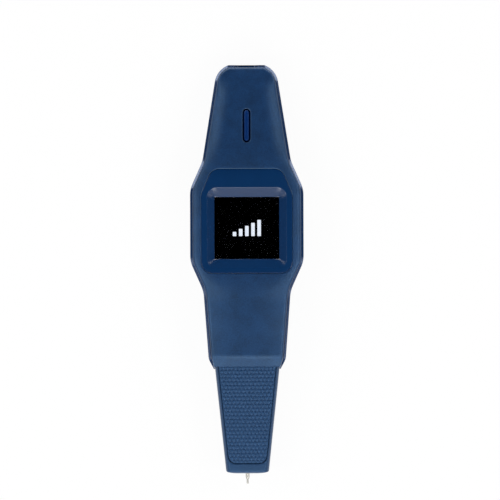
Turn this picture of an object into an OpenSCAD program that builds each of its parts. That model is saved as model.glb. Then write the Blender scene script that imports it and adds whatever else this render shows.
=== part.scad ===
// Handheld gem tester lying on its back: display up (+Z), spring probe towards -Y, tail towards +Y.
// Inside the modules, Y is measured from the end face of the nose; place() centres the whole length.

/* [Case outline] */
// Length of the case from the nose end to the tail end
case_l = 172; // [168:1:184]
// Width across the display head
head_w = 47.9; // [46.5:0.1:52]
// Nose end to the start of the head's straight sides
head_s = 89.2; // [88:0.2:94]
// Length of the head's straight sides
head_l = 30.5; // [28:0.5:33]
// Width at the waist below the head
waist_w = 36.8; // [34:0.2:39]
// Width at the neck above the head
neck_w = 37.4; // [35:0.2:40]
// Slope of the head's four shoulders from the long axis
shoulder_angle = 24; // [21:0.5:28]
// Radius of the head's four shoulders
shoulder_r = 12; // [9:0.5:14]
// Radius of the waist and the neck
waist_r = 15; // [10:0.5:18]
// Nose end to the lower end of the case
collar_s = 43.8; // [41:0.2:46]
// Width of the case at its lower end, before the bevel
collar_w = 32; // [30:0.2:34]
// Width of the tail where its sides reach the end plane
tail_w = 24.5; // [22.5:0.2:27]
// Corner radius of the tail
tail_corner_r = 9; // [8:0.2:10]
// Angle between the tail's corner arcs and its flat end
tail_kink = 20; // [10:1:26]

/* [Case depth] */
// Thickness at the display head
head_t = 22; // [21.5:0.1:25]
// Thickness at the tail end
tail_t = 17.5; // [16.5:0.1:19.5]
// Thickness at the collar
collar_t = 20; // [19:0.1:21.5]
// Wall thickness of both shells
wall = 2; // [1.6:0.1:2.4]
// Thickness of the case's lower end wall
end_wall = 2.6; // [2:0.1:3.2]
// Step from the rear shell's rim in to the front shell
reveal = 0.9; // [0.5:0.05:1.2]
// Height of the bevel on the rear shell's rim
rim_h = 1.2; // [0.8:0.1:1.8]
// Width of the front shell's rounded edge
edge_run = 2.2; // [2.1:0.1:4.5]
// Height of the front shell's rounded edge
edge_drop = 2.4; // [2:0.1:5]
// Least height of the front shell's upright side
edge_foot = 0.4; // [0.2:0.1:1]
// Crown of the tail's face
tail_crown = 2.2; // [0.4:0.1:2.6]
// Crown of the face below the head
waist_crown = 1.4; // [0.3:0.1:1.8]
// Draft of the rear shell's sides
back_draft = 0.25; // [0.1:0.05:0.5]
// Width of the rear shell's rounded edge
back_run = 6; // [4.5:0.1:6.5]
// Height of the rear shell's rounded edge
back_rise = 5; // [3.5:0.1:6]
// Depth of the bevel round the lower end
collar_drop = 1.9; // [1.4:0.1:2.4]
// Length of the bevel round the lower end
collar_run = 3.6; // [3:0.1:4.4]
// Rake of the lower end towards the front and the back
collar_rake = 1.3; // [0.4:0.1:2]
// Land between that bevel and the nose sleeve
collar_land = 0.6; // [0.4:0.1:1]

/* [Nose] */
// Width of the nose at its end
nose_end_w = 17.8; // [15.5:0.1:19]
// Thickness of the nose at its end
nose_end_t = 9.8; // [9:0.1:11]
// Width of the nose's rounded edges
nose_edge_run = 2; // [1.4:0.1:2.6]
// Height of the nose's rounded edges
nose_edge_drop = 3.4; // [2.4:0.1:4]
// Bulge of the nose's end face
nose_bulge = 0.7; // [0.4:0.1:1]
// Wall thickness of the nose sleeve
nose_wall = 1.8; // [1.4:0.1:2.2]
// Thickness of the nose's end wall
nose_end_wall = 3; // [2.4:0.1:4]
// Height of the flange that holds the nose in the shells
flange_h = 0.5; // [0.3:0.05:0.6]
// Length of that flange
flange_l = 1.8; // [1.2:0.1:2.4]
// Length of the nose behind the flange
nose_spigot_l = 0.9; // [0.5:0.1:1.6]

/* [Grip pads] */
// Rim left between a pad and the nose's sides
grip_rim = 1.5; // [1.2:0.1:2.4]
// Rim left between a pad and the nose's end
grip_end = 4.3; // [3:0.1:6]
// Corner radius of a pad
grip_r = 2.4; // [1:0.1:3.4]
// Thickness of a pad
grip_t = 1; // [0.6:0.1:1.3]

/* [Display] */
// Length of the bezel below the head's middle
bezel_below = 20.2; // [19.5:0.1:21]
// Length of the bezel above the head's middle
bezel_above = 23.5; // [22.5:0.1:25]
// Width of the bezel
bezel_w = 38.3; // [37:0.1:39.5]
// Width of the bezel's top edge
bezel_top_w = 29.4; // [26:0.2:32]
// Length of the bezel's slanted upper sides
bezel_slant = 10.7; // [8:0.1:12]
// Corner radius of the bezel
bezel_r = 5; // [3:0.1:6]
// Thickness of the bezel
bezel_t = 2.45; // [1.8:0.05:3]
// Depth of the bezel's rim below the head's face
bezel_sink = 0.35; // [0.1:0.05:0.6]
// Thickness of the bezel's inner lip
bezel_lip = 0.4; // [0.3:0.05:0.8]
// Width of the window opening
view_w = 27.2; // [24:0.1:28]
// Height of the window opening
view_h = 26; // [23:0.1:27]
// Middle of the window opening below the head's middle
view_drop = 1.2; // [0:0.1:2]
// Width of the dished slope at the opening's sides
slope_side = 3; // [2:0.1:3.6]
// Width of the dished slope above and below the opening
slope_end = 4; // [3:0.1:4.4]
// Corner radius of the dished slope at the bezel's rim
dish_r = 4; // [2:0.1:5]
// Corner radius of the window opening
view_r = 0.3; // [0.2:0.1:1]
// Flat land of the head's face round the bezel
face_land = 0.8; // [0.4:0.1:1.2]
// Wall of the shell round the bezel's pocket
pocket_wall = 1.6; // [1:0.1:2]
// Overlap of the glass behind the opening's edges
glass_lap = 1.9; // [1.2:0.1:2.2]
// Thickness of the glass
glass_t = 1; // [0.7:0.1:1.4]
// Thickness of the gasket behind the glass
gasket_t = 0.2; // [0.1:0.05:0.4]
// Overlap of the display panel behind the opening's edges
panel_lap = 1.6; // [1:0.1:1.8]
// Thickness of the display panel
panel_t = 2.4; // [1.8:0.1:3]
// Wall of the frame that carries the panel
holder_wall = 1.5; // [1:0.1:2]
// Width of the display's ribbon
ribbon_w = 10; // [8:0.5:12]
// Thickness of the ribbon
ribbon_t = 0.3; // [0.2:0.05:0.4]
// Reach of the ribbon past the panel's edge
ribbon_reach = 2.5; // [2.2:0.1:3]
// Height of the ribbon's connector
connector_h = 1.6; // [1.2:0.1:2]
// Length of the ribbon's connector
connector_l = 4; // [3:0.1:4.4]
// Wall of the ribbon's connector beside the ribbon
connector_wall = 1.5; // [1:0.1:2]

/* [Button] */
// Middle of the button below the middle of the tail's face
button_drop = 3.8; // [2:0.1:5]
// Length of the button
button_l = 13.2; // [11:0.1:14.5]
// Width of the button
button_w = 2.3; // [2:0.1:2.8]
// Groove round the button
button_gap = 0.5; // [0.4:0.05:0.7]
// Height of the button above the face
button_proud = 0.3; // [0.1:0.05:0.6]
// Travel of the button
button_travel = 0.5; // [0.3:0.05:0.6]
// Width of the button's hidden flange on each side
button_flange = 1.3; // [1:0.1:1.6]
// Thickness of that flange
button_flange_t = 0.8; // [0.6:0.1:1]
// Length of the button's stem under that flange
stem_l = 1.1; // [0.8:0.1:1.3]
// Diameter of the button's stem
stem_d = 2.8; // [2.4:0.1:3.2]
// Side of the push switch
switch_w = 6; // [5:0.1:6.6]
// Height of the push switch's body
switch_h = 3.5; // [3:0.1:3.8]
// Height of the switch's plunger above its body
plunger_h = 1.5; // [1.2:0.1:1.8]
// Length of the plunger inside the switch's body
plunger_in = 0.6; // [0.4:0.1:1]
// Diameter of the switch's plunger
plunger_d = 3.4; // [3:0.1:3.8]

/* [Board and battery] */
// Thickness of the circuit board
board_t = 1.2; // [1:0.1:1.6]
// Gap between the board's edge and the shells
board_edge_gap = 0.8; // [0.4:0.1:1.2]
// Height of the charging socket
socket_h = 3.2; // [3:0.05:3.4]
// Width of the charging socket
socket_w = 8.9; // [8.6:0.1:9.2]
// Length of the charging socket
socket_l = 7.3; // [6.5:0.1:8]
// Sheet thickness of the charging socket
socket_wall = 0.3; // [0.25:0.05:0.4]
// Thickness of the charging socket's closed back
socket_back = 1.2; // [0.8:0.1:1.6]
// Depth of the charging socket's mouth below the tail's end face
socket_sink = 0.2; // [0.1:0.05:0.5]
// Width of the charging socket's tongue
tongue_w = 6.7; // [6.3:0.1:7]
// Thickness of the tongue
tongue_t = 0.7; // [0.6:0.05:0.8]
// Depth of the tongue's end below the socket's mouth
tongue_sink = 0.9; // [0.6:0.1:1.2]
// Side of the packages below the display
chip_w = 6; // [4:0.1:7]
// Height of the packages below the display
chip_h = 1.2; // [0.8:0.1:1.6]
// Side of the packages above the display
small_chip_w = 3.6; // [2:0.1:4]
// Height of the packages above the display
small_chip_h = 1; // [0.6:0.1:1.4]
// Gap between two packages
chip_gap = 2; // [1:0.1:3]
// Length of the battery
battery_l = 45; // [40:0.5:47]
// Width of the battery
battery_w = 25; // [20:0.5:26]
// Thickness of the battery
battery_t = 5.2; // [4.6:0.1:5.8]
// Thickness of the pad under the battery
pad_t = 0.4; // [0.2:0.1:0.8]
// Gap between the battery and the board
battery_gap = 0.6; // [0.3:0.1:1]
// Step from the battery's edges in to its pad
pad_step = 2; // [1:0.1:4]
// Width of the battery's connector
plug_w = 6; // [5:0.1:7]
// Length of the battery's connector
plug_depth = 4.5; // [4:0.1:5]
// Height of the battery's connector
plug_h = 2.5; // [2:0.1:3]
// Length of the battery leads
battery_lead_l = 4; // [3:0.1:6]
// Diameter of each battery lead
battery_lead_d = 1; // [0.8:0.1:1.2]
// Gap between the battery leads
battery_lead_gap = 1; // [0.5:0.1:2]
// Diameter of the sounder
sounder_d = 9; // [8:0.1:10]
// Height of the sounder
sounder_h = 3; // [2.4:0.1:3.6]
// Diameter of the sounder's hole
sounder_hole_d = 2.2; // [1.6:0.1:3]
// Gap between the sounder and the screw bosses
sounder_gap = 0.8; // [0.4:0.1:1.2]

/* [Screws] */
// Tail screws from the tail end
screw_from_tail = 14.5; // [13.5:0.1:15]
// Half spacing of the tail screws
tail_screw_x = 6.6; // [6.2:0.1:7.2]
// Lower screws from the case's lower end
screw_from_collar = 13.2; // [12.5:0.1:15]
// Half spacing of the lower screws
waist_screw_x = 7.5; // [7:0.1:8.2]
// Diameter of the screw thread
screw_d = 2.2; // [2:0.1:2.4]
// Length of the screw under its head
screw_l = 12; // [11:0.5:12.5]
// Diameter of the screw head
screw_head_d = 4; // [3.6:0.1:4.2]
// Height of the screw head
screw_head_h = 1.5; // [1.2:0.1:1.7]
// Depth of the screw head's seat from the back
screw_seat = 2.4; // [2.1:0.1:2.8]
// Length of the slots in the screw head
slot_l = 2.6; // [2:0.1:3]
// Width of the slots in the screw head
slot_w = 0.7; // [0.5:0.1:0.9]
// Outside diameter of the screw bosses
boss_d = 6; // [5.6:0.1:6.4]

/* [Probe] */
// Reach of the probe tip past the nose
probe_out = 4.7; // [4:0.1:5.4]
// Reach of the probe's metal sleeve past the nose
sleeve_out = 2.5; // [2:0.1:2.6]
// Diameter of the probe tip
tip_d = 0.8; // [0.6:0.05:0.9]
// Outside diameter of the metal sleeve
sleeve_d = 1.6; // [1.5:0.05:1.9]
// Length of the metal sleeve's taper
sleeve_taper = 0.8; // [0.5:0.1:1.2]
// Wall of the metal sleeve at its end
sleeve_lip = 0.1; // [0.05:0.05:0.2]
// Travel of the probe tip
probe_travel = 1.5; // [1:0.1:1.5]
// Diameter of the hole in the nose's end
nose_hole_d = 2.1; // [2:0.05:2.4]
// Depth of that hole
nose_hole_l = 1.2; // [0.9:0.1:1.6]
// Diameter of the seat for the bush and the barrel
seat_d = 4.4; // [4.2:0.1:4.8]
// Wall of the tube that holds the probe
tube_wall = 1.6; // [1.2:0.1:1.8]
// Length of the insulating bush
bush_l = 6.8; // [5.5:0.1:7.5]
// Length of the barrel
barrel_l = 18; // [17:0.5:19]
// Wall of the barrel
barrel_wall = 0.65; // [0.5:0.05:0.7]
// Length of the barrel's front stop
barrel_stop = 1.5; // [1:0.1:2]
// Length of the carrier's guided part
carrier_l = 5; // [4:0.1:5.5]
// Length of the carrier's spring spigot
spigot_l = 3; // [2:0.1:3.2]
// Diameter of the spring spigot
spigot_d = 1.3; // [1:0.05:1.4]
// Length of the plug that closes the barrel
plug_l = 3.5; // [3:0.1:4]
// Wire of the probe spring
spring_wire = 0.35; // [0.25:0.05:0.4]
// Turns of the probe spring
spring_turns = 7; // [5:1:8]
// Diameter of each probe lead
lead_d = 0.9; // [0.7:0.1:1.1]
// Gap between the probe leads
lead_gap = 0.45; // [0.2:0.05:0.6]
// Width of the probe's connector on the board
link_w = 5; // [4:0.1:6]
// Length of the probe's connector on the board
link_l = 3.5; // [3:0.1:4]
// Land between the board's end and the probe's connector
link_land = 1.5; // [1:0.1:2]

/* [Fits] */
// Gap round a piece that sits in a pocket
seat_gap = 0.1; // [0.05:0.01:0.15]
// Gap on the radius round a screw's thread
thread_gap = 0.2; // [0.1:0.05:0.3]
// Gap on the radius round a screw's head
head_gap = 0.3; // [0.2:0.05:0.4]
// Gap on the radius of a piece that slides
slide_gap = 0.05; // [0.03:0.01:0.08]
// Gap on the radius of a piece pressed into its seat
press_gap = 0.02; // [0.01:0.005:0.03]

/* [Hidden] */
$fn = 48;

// How far a cut runs past the solid that it opens
over = 1;

// Heights from the back up; the joint of the shells runs through the middle of the charging socket
battery_z = wall + pad_t;
board_z = battery_z + battery_t + battery_gap;
board_top = board_z + board_t;
parting_z = board_top + socket_h / 2;
bezel_z = head_t - bezel_sink - bezel_t;
glass_z = bezel_z - glass_t;
panel_z = glass_z - gasket_t - panel_t;
nose_z = collar_t / 2;

// Places along the case
head_mid = head_s + head_l / 2;
view_s = head_mid - view_drop;
bezel_lo = head_mid - bezel_below;
bezel_hi = head_mid + bezel_above;
button_s = (bezel_hi + case_l) / 2 - button_drop;
cavity_s = collar_s + end_wall;
flange_s = cavity_s + seat_gap;
nose_back = flange_s + flange_l + nose_spigot_l;
board_s = nose_back + 2 * board_edge_gap;
chamber_d = seat_d - 2 * press_gap - 2 * barrel_wall;
bush_s = nose_hole_l;
barrel_s = bush_s + bush_l;
carrier_s = barrel_s + barrel_stop + slide_gap;
spring_s = carrier_s + carrier_l;
plug_s = barrel_s + barrel_l - plug_l;
lead_x = (lead_d + lead_gap) / 2;
screw_places = [for (x = [-1, 1]) each [[x * tail_screw_x, case_l - screw_from_tail],
  [x * waist_screw_x, collar_s + screw_from_collar]]];

// Corners of the case's right side as [distance along, half width], and the heading of each straight
shoulder_l = tan(90 - shoulder_angle);
corners = [[collar_s, collar_w / 2], [head_s - (head_w - waist_w) / 2 * shoulder_l, waist_w / 2],
  [head_s, head_w / 2], [head_s + head_l, head_w / 2],
  [head_s + head_l + (head_w - neck_w) / 2 * shoulder_l, neck_w / 2], [case_l, tail_w / 2]];
steps_along = [for (i = [0:4]) corners[i + 1] - corners[i]];
headings = [for (step = steps_along) atan2(step[1], step[0])];
tail_fall = -headings[4];
tail_centre = [case_l - tail_corner_r * cos(tail_kink),
  tail_w / 2 + tail_corner_r * (cos(tail_kink) * tan(tail_fall) - 1 / cos(tail_fall))];
bend_steps = 4;
tail_steps = 7;
edge_steps = 4;
crown_steps = 6;
straight_steps = [4, 2, 3, 2, 5];

function mix(a, b, t) = a + (b - a) * t;
function last(list) = list[len(list) - 1];
function inward(heading) = [sin(heading), -cos(heading)];
function smooth(t) = let (u = max(0, min(1, t))) u * u * (3 - 2 * u);
function between(a, b, n) = [for (k = [1:1:n - 1]) mix(a, b, k / n)];

// Corner i of the side moved inwards by d
function moved(i, d) =
  let (a = inward(headings[i - 1]), b = inward(headings[i]))
  corners[i] + d * (a + b) / (1 + a * b);

// Arc at corner i of the side moved inwards by d; an outward corner tightens and an inward one opens
function bend(i, d) =
  let (fa = headings[i - 1], fb = headings[i], way = fb < fa ? 1 : -1,
    r = (way > 0 ? shoulder_r : waist_r) - way * d,
    middle = moved(i, d) - r * tan(abs(fb - fa) / 2) * [cos(fa), sin(fa)] + way * r * inward(fa))
  [for (k = [0:bend_steps]) middle - way * r * inward(mix(fa, fb, k / bend_steps))];

// Arc round the tail's corner, stopped by the flat end moved inwards by d
function tail_arc(d) =
  let (r = tail_corner_r - d, stop = asin((tail_corner_r * cos(tail_kink) - d) / r))
  [for (k = [0:tail_steps])
    let (a = mix(tail_fall, stop, k / tail_steps))
    tail_centre + r * [sin(a), cos(a)]];

// Right side of the case moved inwards by d, from the place "from" up to the tail end
function side(d, from = collar_s) =
  let (start = [from, corners[0][1] + (from - collar_s) * tan(headings[0]) - d / cos(headings[0])],
    arcs = [[start], bend(1, d), bend(2, d), bend(3, d), bend(4, d), tail_arc(d)])
  concat([start], [for (i = [0:4])
    each concat(between(last(arcs[i]), arcs[i + 1][0], straight_steps[i]), arcs[i + 1])]);

// Closed ring round the case at inset d: up the right side, down the left side, at the height z(s)
function ring(d, z, from = collar_s) =
  let (p = side(d, from))
  concat([for (q = p) [q[1], q[0], z(q[0])]],
    [for (i = [len(p) - 1:-1:0]) [-p[i][1], p[i][0], z(p[i][0])]]);
function level(z) = function (s) z;

// Face of the front shell: flat over the bezel, falling to the tail and to the collar, and crowned there
face_lo = bezel_lo - face_land;
face_hi = bezel_hi + face_land;
fall_blend = 8;
crown_blend = 12;
function fall(u) = u <= 0 ? 0 : u < fall_blend ? u * u / 2 / fall_blend : u - fall_blend / 2;
tail_slope = (head_t - tail_t) / fall(case_l - face_hi);
waist_slope = (head_t - collar_t) / fall(face_lo - collar_s);
function face_z(s) = head_t - tail_slope * fall(s - face_hi) - waist_slope * fall(face_lo - s);
// The crown rises away from the bezel and runs out again at the tail end and at the collar
crown_rest = 0.03;
function hump(u, length) =
  smooth(u / crown_blend) * mix(crown_rest, 1, smooth((length - u) / crown_blend));
function crown(s) = s > face_hi ? tail_crown * hump(s - face_hi, case_l - reveal - edge_run - face_hi)
  : waist_crown * hump(face_lo - s, face_lo - collar_s - collar_rake - collar_run);
function edge_z(s) = face_z(s) - crown(s);
function edge_low(s) = max(parting_z + edge_foot, edge_z(s) - edge_drop);

// Half sizes of the nose at the distance s from its end
collar_end = collar_drop + collar_land;
nose_end = [nose_end_w, nose_end_t] / 2;
nose_base = [collar_w, collar_t] / 2 - [collar_end, collar_end];
function nose_half(s) = mix(nose_end, nose_base, s / collar_s);
nose_tilt = atan((nose_half(collar_s)[1] - nose_half(0)[1]) / collar_s);

// Rounded oblong ring at s, of the nose's size at size_at or else at s, grown by g and shrunk to the share f
function nose_ring(s, g = 0, f = 1, size_at = undef) =
  let (h = nose_half(is_undef(size_at) ? s : size_at) + [g, g], steps = 5,
    r = [max(0.3, nose_edge_run + g), max(0.3, nose_edge_drop + g)])
  [for (q = [0:3], k = [0:steps])
    let (a = 90 * (q + k / steps), sx = q == 0 || q == 3 ? 1 : -1, sz = q < 2 ? 1 : -1)
    [f * (sx * (h[0] - r[0]) + r[0] * cos(a)), s, nose_z + f * (sz * (h[1] - r[1]) + r[1] * sin(a))]];

// Solid between equal rings in order along Y, each seen the same way round
module loft(rings) {
  n = len(rings[0]);
  top = (len(rings) - 1) * n;
  polyhedron([for (r = rings) each r], concat(
    [[for (i = [n - 1:-1:0]) i]],
    [for (k = [0:len(rings) - 2], i = [0:n - 1])
      let (a = k * n + i, b = k * n + (i + 1) % n) [a, b, b + n, a + n]],
    [[for (i = [0:n - 1]) top + i]]));
}

// Solid between closed case rings from the lowest up; crown_rows are rows of points across its top
module stack(rings, crown_rows = []) {
  m = len(rings[0]);
  n = m / 2;
  top = (len(rings) - 1) * m;
  rows = len(crown_rows);
  function row(j, i) = j == 0 ? top + i : j == rows + 1 ? top + m - 1 - i : top + m + (j - 1) * n + i;
  function arch(i) = [for (j = [0:rows + 1]) row(j, i)];
  polyhedron([for (r = concat(rings, crown_rows)) each r], concat(
    [for (i = [0:n - 2]) [i, i + 1, m - 2 - i, m - 1 - i]],
    [for (k = [0:len(rings) - 2], i = [0:m - 1])
      let (a = k * m + i, b = k * m + (i + 1) % m) [a, a + m, b + m, b]],
    [for (j = [0:rows], i = [0:n - 2]) [row(j, i), row(j + 1, i), row(j + 1, i + 1), row(j, i + 1)]],
    rows == 0 ? [] : [arch(n - 1), [for (j = [rows + 1:-1:0]) row(j, 0)]]));
}

module place() translate([0, -(case_l - probe_out) / 2, 0]) children();
module along(s, x = 0, z = 0) translate([x, s, z]) rotate([-90, 0, 0]) children();
module block(w, s0, s1, z0, z1) translate([-w / 2, s0, z0]) cube([w, s1 - s0, z1 - z0]);
module rod(d, s0, s1, x = 0, z = nose_z) along(s0, x, z) cylinder(d = d, h = s1 - s0);

// Arc of radius r at the corner p, between its neighbours a and b, for an outline that turns left
function corner_arc(p, a, b, r) =
  let (u = (a - p) / norm(a - p), v = (b - p) / norm(b - p), half = acos(u * v) / 2,
    middle = p + (u + v) / norm(u + v) * r / sin(half), first = p + u * r / tan(half) - middle,
    from = atan2(first[1], first[0]), turn = 180 - 2 * half, steps = 6)
  [for (k = [0:steps]) middle + r * [cos(from + turn * k / steps), sin(from + turn * k / steps)]];

// Flat polygon from corners given as [[x, y], radius], with each corner rounded
module rounded(points) {
  n = len(points);
  polygon([for (i = [0:n - 1])
    let (p = points[i][0], a = points[(i + n - 1) % n][0], b = points[(i + 1) % n][0])
    each points[i][1] <= 0 ? [p] : corner_arc(p, a, b, points[i][1])]);
}

// Outline of the bezel, grown by g
module bezel_outline(g = 0) {
  low = bezel_w / 2 + g;
  high = bezel_top_w / 2 + g;
  bend_y = bezel_hi - bezel_slant;
  rounded([[[low, bezel_lo - g], bezel_r + g], [[low, bend_y], bezel_r], [[high, bezel_hi + g], bezel_r + g],
    [[-high, bezel_hi + g], bezel_r + g], [[-low, bend_y], bezel_r], [[-low, bezel_lo - g], bezel_r + g]]);
}

module stadium(w, l) {
  translate([-w / 2, -(l - w) / 2]) square([w, l - w]);
  for (e = [-1, 1]) translate([0, e * (l - w) / 2]) circle(d = w);
}

// Bevels that cut the four sides of the case's lower end; front and back are raked as well
module collar_bevels() {
  out = 2 * collar_drop;
  up = 2 * collar_run;
  for (way = [-1, 1]) translate([way * collar_w / 2, collar_s, -out]) linear_extrude(collar_t + 2 * out)
    polygon([[-way * collar_drop, 0], [-way * out, -collar_run], [way * out, -collar_run], [way * out, up],
      [way * collar_drop, up]]);
  top = collar_rake + up;
  for (way = [-1, 1]) translate([-collar_w, collar_s, nose_z]) rotate([90, 0, 90])
    linear_extrude(2 * collar_w)
      polygon([[0, 0], [collar_rake, way * (nose_z - collar_drop)], [top, way * (nose_z + collar_drop)],
        [top, way * (nose_z + out)], [-collar_run, way * (nose_z + out)], [-collar_run, 0]]);
}

// Socket in the shells for the nose and its flange
module nose_opening() {
  loft([for (s = [collar_s - over, nose_back + seat_gap]) nose_ring(s, seat_gap)]);
  loft([for (s = [-seat_gap, flange_l + seat_gap]) nose_ring(flange_s + s, flange_h + seat_gap)]);
}
module socket_cut() along(case_l - 2 * wall - reveal, 0, parting_z) linear_extrude(3 * wall + reveal)
  rotate(90) stadium(socket_h + 2 * seat_gap, socket_w + 2 * seat_gap);

// Upright prism round the button, wider than it by g on every side
module button_hole(g, z0, z1) translate([0, button_s, z0]) linear_extrude(z1 - z0)
  stadium(button_w + 2 * g, button_l + 2 * g);

module front_shell() color("#24426b") {
  inset = reveal + wall;
  difference() {
    union() {
      difference() {
        stack(concat([ring(reveal, level(parting_z))],
          [for (k = [0:edge_steps]) let (a = 90 * k / edge_steps)
            ring(reveal + edge_run * (1 - cos(a)), function (s) mix(edge_low(s), edge_z(s), sin(a)))]),
          [for (j = [1:crown_steps - 1]) let (f = 1 - 2 * j / crown_steps)
            [for (q = side(reveal + edge_run)) [f * q[1], q[0], face_z(q[0]) - crown(q[0]) * f * f]]]);
        difference() {
          stack([ring(inset, level(parting_z - over), cavity_s),
            ring(inset, function (s) edge_low(s) - edge_foot / 2, cavity_s),
            ring(reveal + edge_run, function (s) edge_z(s) - wall, cavity_s)]);
          translate([0, 0, bezel_z - wall]) linear_extrude(head_t) bezel_outline(pocket_wall);
          button_hole(button_gap + wall, guide_z, 2 * head_t);
        }
      }
      for (p = screw_places) translate([p[0], p[1], board_top])
        cylinder(d = boss_d, h = edge_z(p[1]) - wall / 2 - board_top);
    }
    translate([0, 0, bezel_z]) linear_extrude(head_t) bezel_outline(seat_gap);
    block(view_w + 2 * glass_lap + 2 * seat_gap, view_s - view_h / 2 - glass_lap - seat_gap,
      view_s + view_h / 2 + glass_lap + seat_gap, bezel_z - 2 * wall, bezel_z + over);
    button_hole(button_gap, parting_z, 2 * head_t);
    button_hole(button_flange + button_gap, parting_z, guide_z);
    for (p = screw_places) translate([p[0], p[1], board_top - over])
      cylinder(d = screw_d + 2 * press_gap, h = screw_seat + screw_l + wall / 2 - board_top + over);
    nose_opening();
    collar_bevels();
    socket_cut();
  }
}

module rear_shell() color("#1f3d66") {
  inset = reveal + wall;
  difference() {
    union() {
      difference() {
        stack(concat([for (k = [0:edge_steps]) let (a = 90 * k / edge_steps)
          ring(back_draft + back_run * (1 - sin(a)), level(back_rise * (1 - cos(a))))],
          [ring(0, level(parting_z - rim_h)), ring(reveal, level(parting_z))]));
        stack([ring(back_draft + back_run, level(wall), cavity_s), ring(inset, level(back_rise), cavity_s),
          ring(inset, level(parting_z + over), cavity_s)]);
      }
      for (p = screw_places) translate([p[0], p[1], wall / 2]) cylinder(d = boss_d, h = board_z - wall / 2);
    }
    for (p = screw_places) translate([p[0], p[1], -over]) {
      cylinder(d = screw_d + 2 * thread_gap, h = board_z + 2 * over);
      cylinder(d = screw_head_d + 2 * head_gap, h = screw_seat + over);
    }
    nose_opening();
    collar_bevels();
    socket_cut();
  }
}

// Outline of a grip pad as seen along the nose's face, grown by g
module grip_outline(g = 0) {
  lo = nose_half(grip_end)[0] - grip_rim + g;
  top = collar_s + collar_rake;
  hi = nose_half(top)[0] - grip_rim + g;
  rounded([[[lo, grip_end - g], grip_r], [[hi, top + g], 0], [[-hi, top + g], 0],
    [[-lo, grip_end - g], grip_r]]);
}

// Slab along the nose's upper (way 1) or lower (way -1) face, from the depth t up to the height above
module grip_slab(way, t, above, g = 0) {
  translate([0, 0, nose_z]) rotate([0, way > 0 ? 0 : 180, 0])
    translate([0, 0, nose_half(0)[1]]) rotate([nose_tilt, 0, 0]) translate([0, 0, -t])
      linear_extrude(t + above) grip_outline(g);
}

module nose_sleeve() color("#2b4a73") {
  dome = [[0, 0.3], [0.12, 0.62], [0.4, 0.86], [1, 0.985]];
  dome_l = 2.2 * nose_bulge;
  difference() {
    union() {
      difference() {
        union() {
          loft(concat([for (d = dome) nose_ring(d[0] * nose_bulge, 0, d[1], dome_l)],
            [nose_ring(dome_l), nose_ring(nose_back)]));
          loft([for (s = [0, flange_l]) nose_ring(flange_s + s, flange_h)]);
        }
        loft([for (s = [nose_end_wall, nose_back + over]) nose_ring(s, -nose_wall)]);
      }
      rod(seat_d + 2 * tube_wall, nose_end_wall / 2, barrel_s + barrel_l);
    }
    rod(nose_hole_d, -over, nose_hole_l + over);
    rod(seat_d, nose_hole_l, barrel_s + barrel_l + over);
    for (way = [-1, 1]) grip_slab(way, grip_t, 2 * over, seat_gap);
  }
}

module front_grip() color("#274a75") grip_slab(1, grip_t, 0);
module rear_grip() color("#274a75") grip_slab(-1, grip_t, 0);

// Ring of the dished opening: half sizes h and corner radius r at the height z
function dish_ring(h, r, z) = [for (q = [0:3], k = [0:4])
  let (a = 90 * (q + k / 4), sx = q == 0 || q == 3 ? 1 : -1, sy = q < 2 ? 1 : -1)
  [sx * (h[0] - r) + r * cos(a), view_s + sy * (h[1] - r) + r * sin(a), z]];

module screen_bezel() color("#0d2c58") {
  view = [view_w, view_h] / 2;
  wide = view + [slope_side, slope_end];
  difference() {
    translate([0, 0, bezel_z]) linear_extrude(bezel_t) bezel_outline();
    dish(view, wide);
    block(view_w, view_s - view_h / 2, view_s + view_h / 2, bezel_z - over, bezel_z + bezel_t);
  }
}

// Funnel that opens from the window's half sizes up to the wide half sizes at the bezel's rim
module dish(view, wide) {
  low = dish_ring(view, view_r, bezel_z + bezel_lip);
  high = dish_ring(wide, dish_r, bezel_z + bezel_t);
  n = len(low);
  polyhedron(concat(low, high, [for (p = high) p + [0, 0, over]]), concat(
    [[for (i = [0:n - 1]) i]],
    [for (k = [0, 1], i = [0:n - 1]) let (a = k * n + i, b = k * n + (i + 1) % n) [a, a + n, b + n, b]],
    [[for (i = [n - 1:-1:0]) 2 * n + i]]));
}

// Flat plate behind the window opening, wider than it by lap on each side
module plate_behind(lap, z0, z1) {
  block(view_w + 2 * lap, view_s - view_h / 2 - lap, view_s + view_h / 2 + lap, z0, z1);
}

module display_window() color("#0a0b0e") plate_behind(glass_lap, glass_z, bezel_z);
module display_gasket() color("#151515") difference() {
  plate_behind(panel_lap, glass_z - gasket_t, glass_z);
  plate_behind(0, glass_z - over, glass_z + over);
}
module display_panel() color("#050507") plate_behind(panel_lap, panel_z, panel_z + panel_t);
module display_holder() color("#d8d8d4") difference() {
  plate_behind(panel_lap, board_top, panel_z);
  plate_behind(panel_lap - holder_wall, board_top - over, panel_z + over);
}

// Ribbon from the panel's lower edge down to its connector on the board
panel_lo = view_s - view_h / 2 - panel_lap;
ribbon_s = panel_lo - ribbon_reach;
ribbon_z = panel_z + panel_t / 3;
module display_flex() color("#b98a3a") {
  block(ribbon_w, ribbon_s, panel_lo, ribbon_z, ribbon_z + ribbon_t);
  block(ribbon_w, ribbon_s, ribbon_s + ribbon_t, board_top + connector_h, ribbon_z);
}
module flex_connector() color("#e6e2d6")
  block(ribbon_w + 2 * connector_wall, ribbon_s - connector_l / 2, ribbon_s + connector_l / 2, board_top,
    board_top + connector_h);

module main_board() color("#1d5a3c") {
  edge = side(reveal + wall + board_edge_gap, board_s);
  difference() {
    translate([0, 0, board_z]) linear_extrude(board_t)
      polygon(concat([for (p = edge) [p[1], p[0]]],
        [for (i = [len(edge) - 1:-1:0]) [-edge[i][1], edge[i][0]]]));
    for (p = screw_places) translate([p[0], p[1], board_z - over])
      cylinder(d = screw_d + 2 * thread_gap, h = board_t + 2 * over);
  }
}

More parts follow.
